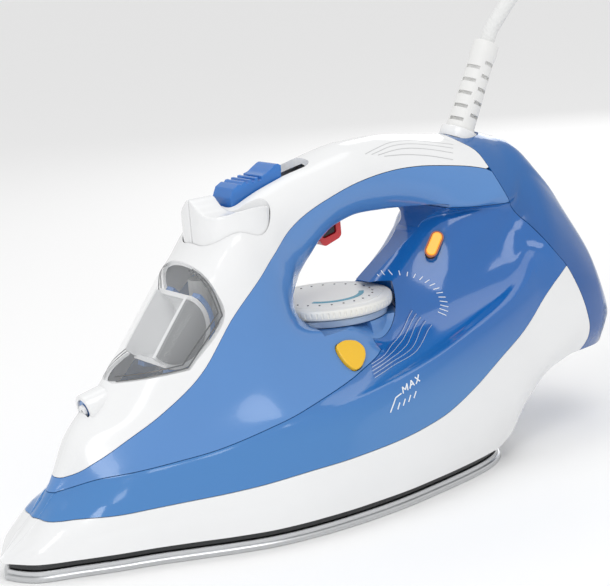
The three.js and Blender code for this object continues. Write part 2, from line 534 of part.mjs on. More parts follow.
function nozzleTip() {
  const profile = [[0.7, -0.9], [2.4, -0.9], [2.6, 0.3], [0.7, 0.3], [0.7, -0.9]];
  return aimed(turned(profile, 16), nozzleAxis(), [NOZZLE.x, 0, NOZZLE.z]);
}

// ---- controls on the handle -------------------------------------------------------------------------
const BUTTON_HALF = [[-46.5, -0.3], [-45.8, -7], [-43, -12.5], [-38, -17], [-32, -20], [-25.5, -21],
  [-19.5, -19.6], [-17, -16.5], [-18.5, -13.6], [-24, -12], [-30, -10.8], [-33.4, -7], [-34, -0.3]];
const BUTTONS_OUTLINE = [...BUTTON_HALF, ...BUTTON_HALF.map(([x, y]) => [x, -y]).reverse()];
const BUTTON_TOP = [[-24, 110], [-24, 136], [-21, 135.2], [-17, 133.4], [-13, 132.6], [-9, 133.6],
  [-5, 136.6], [0, 139.8], [5, 136.6], [9, 133.6], [13, 132.6], [17, 133.4], [21, 135.2], [24, 136],
  [24, 110]];
const BUTTON_BASE = 118.2;
const PUMP = { x: -37.5, y: 9.5 };

function thumbButton(side) {
  const half = side < 0 ? BUTTON_HALF : BUTTON_HALF.map(([x, y]) => [x, -y]).reverse();
  const profile = new THREE.ExtrudeGeometry(outline(BUTTON_TOP), { depth: 60, bevelEnabled: false });
  profile.rotateX(Math.PI / 2);
  profile.rotateZ(Math.PI / 2);
  profile.translate(-60, 0, 0);
  return plate(half, BUTTON_BASE, 150).intersect(solid(profile));
}

function plunger(side) {
  return rod(2.2, 88, BUTTON_BASE - 0.3, 12).translate([PUMP.x, side * PUMP.y, 0]);
}

function pump(side) {
  const body = rod(6.5, 70, 103, 20);
  const bore = rod(2.7, 79, 110, 12);
  return body.subtract(bore).translate([PUMP.x, side * PUMP.y, 0]);
}

function pumpSpring(side) {
  const [turns, steps, radius, z0, z1] = [4, 8, 4.2, 104.3, 116.9];
  const points = [];
  for (let i = 0; i <= turns * steps; i++) {
    const angle = (2 * Math.PI * i) / steps;
    const z = z0 + ((z1 - z0) * i) / (turns * steps);
    points.push([PUMP.x + radius * Math.cos(angle), side * PUMP.y + radius * Math.sin(angle), z]);
  }
  return tube(points, 1.3, turns * steps, 4);
}

function steamSlider() {
  const side = [[-29.4, 131.6], [-29.6, 138], [-27.8, 141.8], [-24, 143.6], [-17, 144.6], [-11, 145.6],
    [-8, 147.4], [-4.4, 149], [-2.6, 148], [-2.8, 144.4], [-3.6, 139.4]];
  return slab(side, -7.4, 7.4);
}

function sliderTrack() {
  const side = [[-30.6, 128.4], [-30.6, 130.8], [-2, 138.4], [12.6, 141.5], [12.6, 138.8], [-2, 135.8]];
  return slab(side, -8.2, 8.2).subtract(box(-26, -12, -2.6, 2.6, 120, 145));
}

function valveRod() {
  return rod(1.8, 33.8, 128.5, 12).translate([-19, 0, 0]);
}

function trigger() {
  const side = [[12.4, 122.5], [12.4, 115], [16.4, 109], [18, 108.4], [25.6, 110.8], [26.8, 112.2],
    [26.8, 124]];
  const window = [[17, 112], [24, 113.6], [24, 118.5], [15, 118.5]];
  return slab(side, -6.4, 6.4).subtract(slab(window, -10, -4.6)).subtract(slab(window, 4.6, 10));
}

function triggerPad(side) {
  const window = [[17, 112], [24, 113.6], [24, 118.5], [15, 118.5]];
  const [y0, y1] = side < 0 ? [-5.6, -4.9] : [4.9, 5.6];
  return slab(grown(window, -0.3), y0, y1);
}

function triggerSwitch() {
  return box(13.5, 26, -6, 6, 129.5, 136);
}

// ---- dial, flushing button and lamp ---------------------------------------------------------------
function dialCap() {
  const { radius, bottom, top } = DIAL;
  return turned([[0, bottom], [radius - 1.6, bottom], [radius, bottom + 1.4], [radius, top - 1.2],
    [radius - 1, top], [0, top + 1]], 40).translate([DIAL.x, 0, 0]);
}

function dialRing() {
  const [z0, z1] = [DIAL.seat + 0.3, DIAL.bottom - 0.3];
  const profile = [[3.4, z0], [26.4, z0], [27, z1], [3.4, z1], [3.4, z0]];
  return turned(profile, 28).translate([DIAL.x, 0, 0]);
}

function dialShaft() {
  return dialCylinder(2.9, 46.3, DIAL.bottom - 0.3, 16);
}

// A flat outline set on the body's surface: its own z runs along the surface normal.
function placed(points, z0, z1, origin, normal, along) {
  const n = new THREE.Vector3(...normal).normalize();
  const u = new THREE.Vector3(...along).addScaledVector(n, -n.dot(new THREE.Vector3(...along))).normalize();
  const v = new THREE.Vector3().crossVectors(n, u);
  const matrix = new THREE.Matrix4().makeBasis(u, v, n).setPosition(origin.x, origin.y, origin.z);
  return plate(points, z0, z1).transform(matrix.toArray());
}

const FLUSH_NORMAL = [0.06, -0.75, 0.66];
const LAMP_NORMAL = [-0.42, -0.72, 0.55];
const FLUSH_OUTLINE = [[-6.6, 5.4], [-1, 7], [5, 5.6], [7.4, 1.4], [5.4, -3], [0.4, -7.4], [-3.6, -8.2],
  [-6.2, -4], [-7, 1.4]];

function flushShape(gap, depth) {
  return placed(grown(FLUSH_OUTLINE, gap), depth, 8, FLUSH, FLUSH_NORMAL, [1, 0, 0]);
}

function flushButton() {
  return placed(FLUSH_OUTLINE, -3.4, 1.6, FLUSH, FLUSH_NORMAL, [1, 0, 0]);
}

function flushStem() {
  return placed([[-2, -2], [2, -2], [2, 2], [-2, 2]], -19, -3.7, FLUSH, FLUSH_NORMAL, [1, 0, 0]);
}

function lampOutline() {
  const points = [];
  for (let i = 0; i < 12; i++) {
    const angle = (Math.PI * (i + 0.5)) / 6;
    points.push([3.6 * Math.sign(Math.cos(angle)) + 2.3 * Math.cos(angle), 2.3 * Math.sin(angle)]);
  }
  return points;
}

function lampShape(gap, depth) {
  return placed(grown(lampOutline(), gap), depth, 6, LAMP, LAMP_NORMAL, [0.55, 0, 0.83]);
}

function lampLens() {
  return placed(lampOutline(), -3, 0.9, LAMP, LAMP_NORMAL, [0.55, 0, 0.83]);
}

function lampBody() {
  const block = [[-4.5, -1.8], [4.5, -1.8], [4.5, 1.8], [-4.5, 1.8]];
  return placed(block, -9, -3.3, LAMP, LAMP_NORMAL, [0.55, 0, 0.83]);
}

// ---- heel, cord and plug ----------------------------------------------------------------------------
function heelFoot(side, half) {
  return slab(side, -half, half);
}

function bootSeat() {
  const profile = [[7.4, -3], [8.7, -3], [8.7, 1.4], [7.9, 2], [7.4, 2], [7.4, -3]];
  return aimed(turned(profile, 24), lean(BOOT.lean), [BOOT.x, 0, BOOT.z]);
}

function cordBoot() {
  const profile = [[0, -5], [6.9, -5], [6.9, 3]];
  for (let i = 0; i < 6; i++) {
    const [z, r] = [4 + 5.2 * i, 6.7 - 0.2 * i];
    profile.push([r, z], [r, z + 3.2], [r - 0.9, z + 3.4], [r - 0.9, z + 5]);
  }
  profile.push([5.9, 36], [6.4, 38], [6.2, 44], [5.2, BOOT.length], [0, BOOT.length]);
  return aimed(turned(profile, 14), lean(BOOT.lean), [BOOT.x, 0, BOOT.z]);
}

function swivelBall() {
  const ball = solid(new THREE.SphereGeometry(6.6, 16, 10)).translate([0, 0, -12]);
  return aimed(ball, lean(BOOT.lean), [BOOT.x, 0, BOOT.z]);
}

function bootPoint(distance) {
  const [x, , z] = lean(BOOT.lean);
  return [BOOT.x + x * distance, 0, BOOT.z + z * distance];
}

// The lead's way down: over one arch, slanting outwards, then round into the first turn of the coil.
function leadRoute() {
  const up = [[131.5, 0, 196.5], [139, 0, 204], [149, 0, 212], [161, 0, 218.2], [174, 0, 221.4]];
  const points = [bootPoint(BOOT.length + 0.3), bootPoint(BOOT.length + 6), ...up];
  for (let k = 0; k < 6; k++) {
    const angle = THREE.MathUtils.degToRad(15 * k);
    points.push([186 + 30 * Math.sin(angle), 0.2 * k, 192 + 30 * Math.cos(angle)]);
  }
  for (let k = 0; k <= 8; k++) {
    const share = THREE.MathUtils.smoothstep(k / 8, 0, 1);
    points.push([216 + 44.4 * share, 1 + 49.8 * share, 192 - (129.3 * k) / 8]);
  }
  for (let k = 1; k <= 5; k++) {
    const angle = THREE.MathUtils.degToRad(18 * k);
    const reach = 32 * Math.cos(angle);
    points.push([242 + 0.574 * reach, 24.6 + 0.819 * reach, 62.7 - 32 * Math.sin(angle)]);
  }
  return points;
}

function cord() {
  return tube(leadRoute(), CORD_DIAMETER, 48, 10);
}

function cordCoil() {
  const { inner, middle, outer, height, shoulder } = COIL;
  const profile = [[inner, 0], [outer, 0], [outer, shoulder], [middle, shoulder], [middle, height],
    [inner, height], [inner, 0]];
  return turned(profile, 28).translate([COIL.x, 0, 0]);
}

function cordTail() {
  const route = [[304, -42.4, 21.6], [312, -42.7, 20.7], [321, -43.1, 19.9], [330, -43.6, 19.3],
    [338.3, -44, 19]];
  return tube(route, CORD_DIAMETER, 8, 10);
}

const PLUG = { x: 339, y: -44, z: 19 };

function alongX(body) {
  return body.rotate([0, 90, 0]).translate([PLUG.x, PLUG.y, PLUG.z]);
}

function plugRelief() {
  return alongX(turned([[0, 0], [5, 0], [5.4, 6], [7, 16], [9.5, 24], [0, 24]], 16));
}

function plugBody() {
  return alongX(turned([[0, 24.3], [11, 24.3], [17, 30], [19, 36], [19, 56], [17.6, 58], [0, 58]], 28));
}

function plugPin(side) {
  return alongX(turned([[0, 58.3], [2.4, 58.3], [2.4, 75.6], [1.4, 77.3], [0, 77.3]], 12)
    .translate([0, side * 9.5, 0]));
}

// ---- the finished part --------------------------------------------------------------------------------
const CHARCOAL = { color: 0x2b2d2f, roughness: 0.5, metalness: 0 };
const WHITE = { color: 0xf0f0ee, roughness: 0.25, metalness: 0 };
const BLUE = { color: 0x3f7cc4, roughness: 0.25, metalness: 0 };
const CLEAR_BLUE = { color: 0x1166b8, roughness: 0.15, metalness: 0 };
const STEEL = { color: 0xb9bcc0, roughness: 0.35, metalness: 1 };
const CAST = { color: 0x9a9da0, roughness: 0.6, metalness: 1 };
const GREY = { color: 0x8b8f93, roughness: 0.5, metalness: 0 };

const root = new THREE.Group();
root.name = "steam_iron";

function add(name, body, look) {
  const mesh = new THREE.Mesh(surface(body), new THREE.MeshStandardMaterial(look));
  mesh.name = name;
  root.add(mesh);
}

add("soleplate", soleplate(), STEEL);
add("heat_shield", heatShield(), CHARCOAL);
add("steam_chamber", steamChamber(), CAST);
add("heating_element", heatingElement(), STEEL);
add("thermostat", thermostat(), STEEL);
add("thermal_fuse", thermalFuse(), GREY);
add("tank_floor", tankFloor(), WHITE);
add("lower_housing", lowerHousing(), WHITE);
add("water_tank", waterTank(), CLEAR_BLUE);
add("upper_shell", upperShell(), BLUE);
add("top_cover", topCover(), WHITE);
add("heel_cover", heelCover(), CLEAR_BLUE);
add("heel_foot_lower", heelFoot([[160.8, 45.6], [166.5, 45.6], [163.1, 55.4], [160.8, 55.4]], 15), CHARCOAL);
add("heel_foot_upper", heelFoot([[145.2, 104], [145.9, 104], [142.3, 114], [140.4, 114]], 8), CHARCOAL);
add("filler_door", fillerDoor(), { color: 0xd5d9dc, roughness: 0.1, metalness: 0 });
add("filler_cup", fillerCup(), GREY);
add("filler_ring_left", fillerRing(-1), CLEAR_BLUE);
add("filler_ring_right", fillerRing(1), CLEAR_BLUE);
add("nozzle_insert", nozzleInsert(), BLUE);
add("nozzle_tip", nozzleTip(), WHITE);
for (const [name, side] of [["left", -1], ["right", 1]]) {
  add("thumb_button_" + name, thumbButton(side), WHITE);
  add("plunger_" + name, plunger(side), GREY);
  add("pump_" + name, pump(side), WHITE);
  add("pump_spring_" + name, pumpSpring(side), STEEL);
  add("trigger_pad_" + name, triggerPad(side), CHARCOAL);
  add("plug_pin_" + name, plugPin(side), STEEL);
}
add("steam_slider", steamSlider(), CLEAR_BLUE);
add("slider_track", sliderTrack(), WHITE);
add("valve_rod", valveRod(), GREY);
add("trigger", trigger(), { color: 0xc81f26, roughness: 0.3, metalness: 0 });
add("trigger_switch", triggerSwitch(), CHARCOAL);
add("dial_cap", dialCap(), { color: 0xf0ede6, roughness: 0.35, metalness: 0 });
add("dial_ring", dialRing(), { color: 0xc9dcf0, roughness: 0.2, metalness: 0 });
add("dial_shaft", dialShaft(), GREY);
add("flush_button", flushButton(), { color: 0xf2b400, roughness: 0.3, metalness: 0 });
add("flush_stem", flushStem(), GREY);
add("lamp_lens", lampLens(), { color: 0xf08a10, roughness: 0.2, metalness: 0 });
add("lamp_body", lampBody(), GREY);
add("terminal_block", terminalBlock(), GREY);
add("boot_seat", bootSeat(), WHITE);
add("cord_boot", cordBoot(), WHITE);
add("swivel_ball", swivelBall(), GREY);
add("cord", cord(), { color: 0xe9e9e7, roughness: 0.7, metalness: 0 });
add("cord_coil", cordCoil(), { color: 0xe9e9e7, roughness: 0.7, metalness: 0 });
add("cord_tail", cordTail(), { color: 0xe9e9e7, roughness: 0.7, metalness: 0 });
add("plug_relief", plugRelief(), WHITE);
add("plug_body", plugBody(), WHITE);

export default root;
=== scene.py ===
"""Looks of the steam iron: smooth mouldings, controls, cord, materials, light and camera.

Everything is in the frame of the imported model: +X from nose to heel, +Z up, the ironing face in Z = 0.
Sizes are in millimetres up to the point where a mesh is made.
"""
import math

import bmesh
import bpy
from mathutils import Matrix, Vector
from mathutils.bvhtree import BVHTree


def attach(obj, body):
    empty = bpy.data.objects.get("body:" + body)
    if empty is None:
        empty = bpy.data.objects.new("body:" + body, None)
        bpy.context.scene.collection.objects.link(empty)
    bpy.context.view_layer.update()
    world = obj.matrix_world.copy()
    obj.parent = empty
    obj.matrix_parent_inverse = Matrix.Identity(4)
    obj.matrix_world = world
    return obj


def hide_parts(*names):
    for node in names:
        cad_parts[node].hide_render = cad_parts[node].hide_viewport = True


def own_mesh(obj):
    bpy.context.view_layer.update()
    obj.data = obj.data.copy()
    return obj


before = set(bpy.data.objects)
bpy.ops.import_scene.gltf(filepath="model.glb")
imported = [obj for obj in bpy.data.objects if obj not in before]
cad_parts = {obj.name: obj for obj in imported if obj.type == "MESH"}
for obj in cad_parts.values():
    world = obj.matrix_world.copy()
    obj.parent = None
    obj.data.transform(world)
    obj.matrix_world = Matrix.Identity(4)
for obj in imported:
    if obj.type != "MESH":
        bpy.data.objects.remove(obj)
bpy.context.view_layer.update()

MM = 0.001
WALL = 2.6
SEAM = 0.3
HALF = SEAM / 2
DIAL_X, DIAL_RADIUS, DIAL_SEAT, DIAL_BOTTOM, DIAL_TOP = 20.5, 29.0, 75.6, 79.4, 84.6
SLOT_RADIUS, SLOT_TOP = 30.3, 87.4
CORD_DIAMETER = 7.0
BOOT_X, BOOT_Z, BOOT_LEAN, BOOT_LENGTH = 102.5, 145.6, 27.5, 45.0
COIL_X = 277.0
COIL_INNER, COIL_OUTER, COIL_FLOOR = 35, 42, 3.55
NOZZLE_X, NOZZLE_Z, NOZZLE_LEAN = -106.0, 61.5, 12.0
DOOR_GAP = 0.35

# ---- rails and parting lines of the body -----------------------------------------------------
# Rails of the outer body: each row is x, half width, height. They run from the underside to the
# crest of the handle, in the order in which a cross-section meets them.
KEEL = [[-151, 0, 8], [80, 0, 8], [88, 0, 14], [97, 0, 24], [112, 0, 36], [125, 0, 40],
    [150, 0, 40.3], [158, 0, 42.8], [160.5, 0, 47]]
SKIRT_EDGE = [[-151, 1.5, 8], [-141, 14.5, 8], [-127, 22, 8], [-112, 29, 8], [-97, 35, 8],
    [-82, 42, 8], [-67, 49.3, 8], [-51, 55.3, 8], [-33, 58.4, 8], [-13, 59.7, 8], [8, 59.2, 8],
    [33, 56, 8], [61, 50.3, 8], [74, 46.5, 8], [84, 43.5, 10.5], [97, 42.5, 24.3], [112, 42.5, 36.3],
    [118, 42.3, 38.3], [130, 41, 40.5], [145, 38.5, 40.5], [155, 33, 41.8], [160.5, 24, 46.8]]
SKIRT_LINE = [[-151, 1.2, 8.3], [-141, 13, 14.5], [-127, 20.5, 18.5], [-112, 28, 19],
    [-97, 34, 19], [-67, 48.6, 19], [-51, 54.8, 19], [-33, 58.2, 19], [-13, 59.8, 19], [8, 59.7, 19],
    [33, 57.2, 20], [61, 52.6, 22], [84, 48.8, 29.5], [100, 47.5, 39], [118, 46.8, 47.5],
    [130, 45.5, 49], [145, 43, 49], [155, 36.5, 49.5], [160.5, 26, 49.3]]
FLANK = [[-151, 0.9, 8.6], [-141, 8, 16], [-127, 12.5, 26.5], [-112, 24, 27.5], [-97, 30.8, 28],
    [-67, 44.8, 30], [-51, 51, 31.5], [-33, 55.2, 33], [-13, 57.8, 35], [8, 58.6, 37], [33, 57, 41],
    [61, 53.8, 46], [84, 50.8, 52], [100, 48.8, 58], [118, 47.5, 64], [130, 47, 63], [145, 44.5, 58],
    [155, 38.3, 54.5], [160.5, 25.8, 51.8]]
RIDGE = [[-151, 0.7, 8.9], [-141, 4, 16.9], [-137, 3.8, 20], [-125, 4.5, 31.6], [-112, 16, 35],
    [-97, 26, 36.8], [-82, 33.5, 38.5], [-67, 40.8, 41], [-51, 46.6, 44.5], [-33, 51.3, 47.5],
    [-13, 54.5, 50.5], [8, 56, 54.8], [33, 55.6, 60.4], [61, 53.4, 68.5], [84, 50.5, 75.5],
    [98, 47.5, 82], [108, 44.5, 89], [118, 45.5, 85], [130, 45, 80], [145, 43.3, 69], [155, 37.5, 60],
    [160.5, 25.2, 53.2]]
DISH_EDGE = [[-151, 0.6, 9], [-141, 3.8, 17.1], [-137, 3.6, 20.2], [-125, 4.3, 32.1],
    [-112, 15, 36], [-97, 25, 38], [-82, 32.5, 40], [-67, 39.7, 42.6], [-51, 45.4, 46.6],
    [-33, 49.6, 50], [-13, 51.6, 52.8], [8, 51.2, 56.4], [28, 49.5, 60], [44, 48.6, 64], [61, 47, 69.6],
    [84, 43.5, 78], [98, 39.5, 86.5], [108, 36.5, 95], [118, 42, 97], [130, 42.5, 90], [145, 41.5, 76],
    [155, 36, 63.5], [160.5, 24, 54.2]]
FIN_FOOT = [[-151, 0.5, 9.1], [-141, 3.6, 17.2], [-137, 3.4, 20.3], [-125, 3.9, 32.4],
    [-112, 13.6, 38.5], [-97, 23.6, 41.5], [-82, 30.6, 44.5], [-67, 37.6, 47], [-51, 43.2, 50.5],
    [-33, 48, 52.5], [-15, 46.8, 55.8], [-2, 44.6, 58.8], [12, 40.4, 62.2], [28, 40.5, 63.2],
    [44, 39.8, 67], [61, 38.6, 73], [84, 35.2, 83], [98, 33.3, 93], [108, 32.5, 102.5],
    [118, 38.5, 106], [130, 39.5, 98], [145, 39.3, 82], [155, 34, 66.5], [160.5, 22.4, 55]]
FIN_LOW = [[-151, 0.45, 9.2], [-137, 3.1, 20.4], [-125, 3.6, 32.6], [-112, 11.2, 45],
    [-97, 19.8, 49.5], [-82, 26, 55], [-67, 31.5, 58.5], [-51, 35.5, 62], [-33, 38.5, 64],
    [-15, 38, 66], [-2, 36.2, 67.5], [12, 33.5, 69], [28, 31.6, 66.2], [44, 31, 70.5], [61, 30, 78.5],
    [84, 29, 90], [98, 29.5, 99.5], [108, 29.5, 107.5], [118, 35, 113.5], [130, 36.5, 104.5],
    [145, 37, 86.8], [155, 31.5, 68.8], [160.5, 20.5, 55.6]]
FIN_MID = [[-151, 0.4, 9.3], [-137, 2.8, 20.5], [-125, 3.4, 32.8], [-112, 8.6, 50.5],
    [-97, 15.5, 57], [-82, 21.8, 63.5], [-67, 26.5, 72.5], [-51, 29.4, 77], [-33, 31, 78.5],
    [-20, 30.6, 78.5], [-8, 29, 77.5], [12, 27.6, 75.6], [28, 26.4, 71], [44, 22.5, 76.5],
    [61, 22, 86.5], [76, 23.5, 98], [88, 26.2, 106], [98, 27.6, 110.5], [108, 28.8, 113.5],
    [118, 32.5, 119], [130, 34, 109.5], [145, 34.5, 90.5], [155, 29, 70.5], [160.5, 18.4, 56]]
FIN_HIGH = [[-151, 0.35, 9.4], [-137, 2.4, 20.6], [-125, 3.1, 33], [-112, 6.2, 52.8],
    [-97, 11.4, 61.3], [-82, 18, 71], [-67, 22.8, 81], [-51, 26.3, 88.5], [-33, 27.6, 91],
    [-20, 26.4, 88], [-10, 22.5, 82], [-2, 20, 78], [12, 20, 75.8], [28, 20, 75.5], [44, 12.5, 84],
    [61, 11.5, 97.5], [70, 13, 105.5], [78, 18.5, 110.5], [88, 24, 112.8], [98, 27, 113.4],
    [108, 29.4, 115.6], [118, 30, 123.5], [130, 31.5, 113.8], [145, 31.5, 93.8], [155, 26.3, 71.8],
    [160.5, 16.2, 56.3]]
WEB_LOW = [[-151, 0.3, 9.5], [-137, 2.1, 20.7], [-125, 2.9, 33.2], [-112, 4.8, 54],
    [-97, 8.6, 64.5], [-82, 14.6, 76], [-67, 19.2, 88.6], [-51, 23.4, 99], [-33, 25.4, 102.5],
    [-20, 24.2, 97], [-10, 18.5, 88], [-2, 7, 84], [4, 5, 82], [28, 5, 82], [44, 5, 89.5],
    [61, 5, 101.5], [70, 7, 109.8], [78, 15.5, 113.2], [88, 22.8, 114], [98, 27.4, 114.3],
    [108, 30, 117.2], [118, 27.8, 127.2], [130, 29, 117.5], [145, 28.5, 96.3], [155, 23.3, 72.9],
    [160.5, 14, 56.5]]
WEB_HIGH = [[-151, 0.25, 9.6], [-137, 1.8, 20.75], [-125, 2.6, 33.4], [-112, 3.9, 54.6],
    [-97, 6.6, 66.4], [-82, 11.4, 79.3], [-67, 15.8, 93.3], [-51, 20.8, 105.8], [-33, 24.4, 111.5],
    [-20, 22.8, 106], [-10, 18.6, 96], [-2, 7, 93], [4, 5, 99], [12, 5, 109], [22, 5, 115.5],
    [34, 5.4, 119], [50, 5.6, 118.6], [62, 8, 117.8], [70, 12.5, 116.4], [78, 20.5, 115.6],
    [88, 25.4, 115.2], [98, 28.8, 116], [108, 30, 119], [118, 26, 131], [130, 26.8, 121],
    [145, 25.2, 98.3], [155, 20, 73.7], [160.5, 11.7, 56.65]]
GRIP_LOW = [[-151, 0.2, 9.7], [-137, 1.5, 20.8], [-125, 2.2, 33.6], [-112, 3.2, 55],
    [-97, 5, 67.6], [-82, 8.6, 81.8], [-67, 12.6, 96.5], [-51, 18, 109.8], [-33, 23, 118.6],
    [-20, 22.4, 115], [-10, 19, 106], [-2, 13.8, 103.5], [4, 12.2, 107], [12, 12, 114],
    [22, 11.8, 119.2], [34, 11.8, 121.4], [50, 12.4, 120.9], [62, 15.4, 120], [70, 18.8, 118.6],
    [78, 24, 117.4], [88, 27.8, 117], [98, 29.6, 118.6], [108, 29.2, 122.5], [118, 23.4, 134.2],
    [130, 23.6, 123.8], [145, 21.5, 100], [155, 16.5, 74.2], [160.5, 9.4, 56.78]]
GRIP_SIDE = [[-151, 0.15, 9.8], [-137, 1.2, 20.9], [-125, 1.7, 33.8], [-112, 2.4, 55.3],
    [-97, 3.7, 68.4], [-82, 6.2, 83.7], [-67, 9.6, 98.9], [-51, 14.8, 112.6], [-33, 20.8, 124.4],
    [-20, 21, 124], [-10, 19.6, 119], [-2, 18.2, 115.6], [4, 17.6, 117.6], [12, 17.2, 122.4],
    [22, 17.2, 126.6], [34, 17.2, 128.2], [50, 17.6, 127.6], [62, 19.4, 126.4], [70, 21.4, 125],
    [78, 24.4, 124], [88, 26.8, 123.2], [98, 27.6, 124.4], [108, 25.8, 128.4], [118, 19.8, 137.6],
    [130, 19.4, 126.4], [145, 17, 101.5], [155, 12.5, 74.6], [160.5, 7, 56.87]]
GRIP_HIGH = [[-151, 0.1, 9.9], [-137, 0.9, 20.95], [-125, 1.2, 33.9], [-112, 1.6, 55.5],
    [-97, 2.5, 69], [-82, 4.2, 84.9], [-67, 6.8, 100.5], [-51, 11, 114.4], [-33, 16.5, 128.6],
    [-20, 18, 131.4], [-10, 18, 132], [-2, 18, 131.8], [12, 17.8, 135.4], [22, 17.8, 137.6],
    [34, 17.8, 139], [50, 18, 138.8], [62, 19, 137.6], [78, 21.8, 135], [88, 23, 133.2],
    [98, 22.8, 132.8], [108, 20, 136], [118, 14.2, 140.6], [130, 13.2, 128.5], [145, 11.5, 102.5],
    [155, 8.5, 74.85], [160.5, 4.6, 56.94]]
SHOULDER = [[-151, 0.05, 9.95], [-137, 0.5, 21], [-125, 0.7, 34], [-112, 0.9, 55.6],
    [-97, 1.4, 69.3], [-82, 2.4, 85.6], [-67, 4, 101.4], [-51, 6.4, 115.8], [-33, 10, 131.8],
    [-20, 12, 137], [-10, 12.4, 139.8], [-2, 12.8, 141.6], [12, 12.8, 144.2], [22, 12.8, 146.2],
    [34, 12.8, 147.8], [50, 12.8, 147.8], [62, 13.2, 146.8], [78, 14.4, 144.4], [88, 14.8, 142.8],
    [98, 14.4, 141.6], [108, 12.4, 142.6], [118, 7.8, 142.3], [130, 7, 129.3], [145, 6, 102.9],
    [155, 4.2, 75], [160.5, 2.2, 56.98]]
CREST = [[-151, 0, 10], [-137, 0, 21.05], [-125, 0, 34.1], [-112, 0, 55.7], [-97, 0, 69.5],
    [-82, 0, 86], [-67, 0, 102], [-51, 0, 116.5], [-46, 0, 122], [-33, 0, 133.5], [-20, 0, 139.6],
    [-10, 0, 142.8], [-2, 0, 145], [12, 0, 148], [22, 0, 150.4], [34, 0, 152.2], [50, 0, 152.4],
    [62, 0, 151.4], [78, 0, 149.2], [88, 0, 147.8], [98, 0, 146.4], [108, 0, 146], [118, 0, 143],
    [124, 0, 137.3], [130, 0, 129.5], [137, 0, 118.5], [145, 0, 103], [151, 0, 88.5], [155, 0, 75],
    [160.5, 0, 57]]
RAILS = [SKIRT_EDGE, SKIRT_LINE, FLANK, RIDGE, DISH_EDGE, FIN_FOOT, FIN_LOW, FIN_MID, FIN_HIGH,
    WEB_LOW, WEB_HIGH, GRIP_LOW, GRIP_SIDE, GRIP_HIGH, SHOULDER]

# Parting lines and openings, as x, z points seen from the side.
TANK_LINE = [[-160, 21.5], [-124.5, 23.5], [-105, 23.5], [-81, 25], [-66, 26], [-36, 28.5],
    [-15, 29.5], [8, 31], [26, 33], [41, 36], [59, 43], [76, 52], [92.5, 61], [110.5, 75], [124, 83.7]]
FIN_LINE = [[-160, 31], [-125, 32], [-112, 36.2], [-97, 38.2], [-82, 40.3], [-67, 42.9],
    [-51, 46.9], [-33, 51.4], [-15, 55.5], [-2, 58.5], [12, 62]]
COVER_LINE = [[-160, 36.5], [-121, 37.5], [-110, 43], [-98, 50], [-84, 58], [-73, 65.5], [-62, 74.5],
    [-47, 91], [-30, 105.5], [-10, 121.5], [0, 127], [14, 132], [29, 136], [47.5, 138.2], [62.5, 138],
    [75, 136.5], [89, 134], [98, 131.5], [112, 126]]
HEEL_LINE = [[90, 152], [92, 146], [98, 139.5], [100, 132], [103, 121], [106, 115], [112, 104.5],
    [118, 92.5], [124.5, 83.5], [130, 72], [134, 60.5], [136.5, 51], [135.5, 43], [128, 36]]
HAND_HOLE = [[-3.5, 75.6], [-3.8, 80], [-3, 86], [-0.8, 92], [1.8, 98], [5, 105], [9.5, 111],
    [15, 115.5], [24, 119.2], [36, 120.8], [50, 120], [62, 119.8], [71, 119.5], [76, 118.3], [74.5, 114.5],
    [70, 109], [64, 103.5], [57, 98.4], [50, 94], [42, 88.5], [36, 84], [30, 75.6]]
DOOR = [[-94, 71], [-68, 74.6], [-49, 93.5], [-50.5, 105], [-54, 117.5],
    [-58, 124], [-104, 84]]


# ---- curves and outlines -----------------------------------------------------------------------
def follow(rows, x):
    """Cubic interpolation of rows x, a, b that never overshoots its points."""
    last = len(rows) - 1
    at = min(max(x, rows[0][0]), rows[last][0])
    i = 0
    while i < last - 1 and at > rows[i + 1][0]:
        i += 1

    def slope(k, c):
        return (rows[k + 1][c] - rows[k][c]) / (rows[k + 1][0] - rows[k][0])

    def tangent(k, c):
        if k in (0, last):
            return slope(min(k, last - 1), c)
        a, b = slope(k - 1, c), slope(k, c)
        return 0 if a * b <= 0 else 2 * a * b / (a + b)

    step = rows[i + 1][0] - rows[i][0]
    t = (at - rows[i][0]) / step
    found = []
    for c in (1, 2):
        p, q = rows[i][c], rows[i + 1][c]
        m, n = tangent(i, c) * step, tangent(i + 1, c) * step
        found.append(p + t * (m + t * (3 * (q - p) - 2 * m - n + t * (2 * (p - q) + m + n))))
    return found


def smooth(points, per=6, closed=False):
    """Centripetal Catmull-Rom curve through points, with per steps between two of them."""
    p = [Vector(q) for q in points]
    n = len(p)
    made = []
    for i in range(n if closed else n - 1):
        if closed:
            a, b, c, d = (p[(i + k) % n] for k in (-1, 0, 1, 2))
        else:
            b, c = p[i], p[i + 1]
            a = p[i - 1] if i else b * 2 - c
            d = p[i + 2] if i + 2 < n else c * 2 - b
        t1 = max((b - a).length, 1e-6) ** 0.5
        t2 = t1 + max((c - b).length, 1e-6) ** 0.5
        t3 = t2 + max((d - c).length, 1e-6) ** 0.5
        for k in range(per):
            t = t1 + (t2 - t1) * k / per
            a1 = a * ((t1 - t) / t1) + b * (t / t1)
            a2 = b * ((t2 - t) / (t2 - t1)) + c * ((t - t1) / (t2 - t1))
            a3 = c * ((t3 - t) / (t3 - t2)) + d * ((t - t2) / (t3 - t2))
            b1 = a1 * ((t2 - t) / t2) + a2 * (t / t2)
            b2 = a2 * ((t3 - t) / (t3 - t1)) + a3 * ((t - t1) / (t3 - t1))
            made.append(b1 * ((t2 - t) / (t2 - t1)) + b2 * ((t - t1) / (t2 - t1)))
    if not closed:
        made.append(p[-1])
    return [tuple(q) for q in made]


def shifted(points, dx, dz):
    return [(p[0] + dx, p[1] + dz) for p in points]


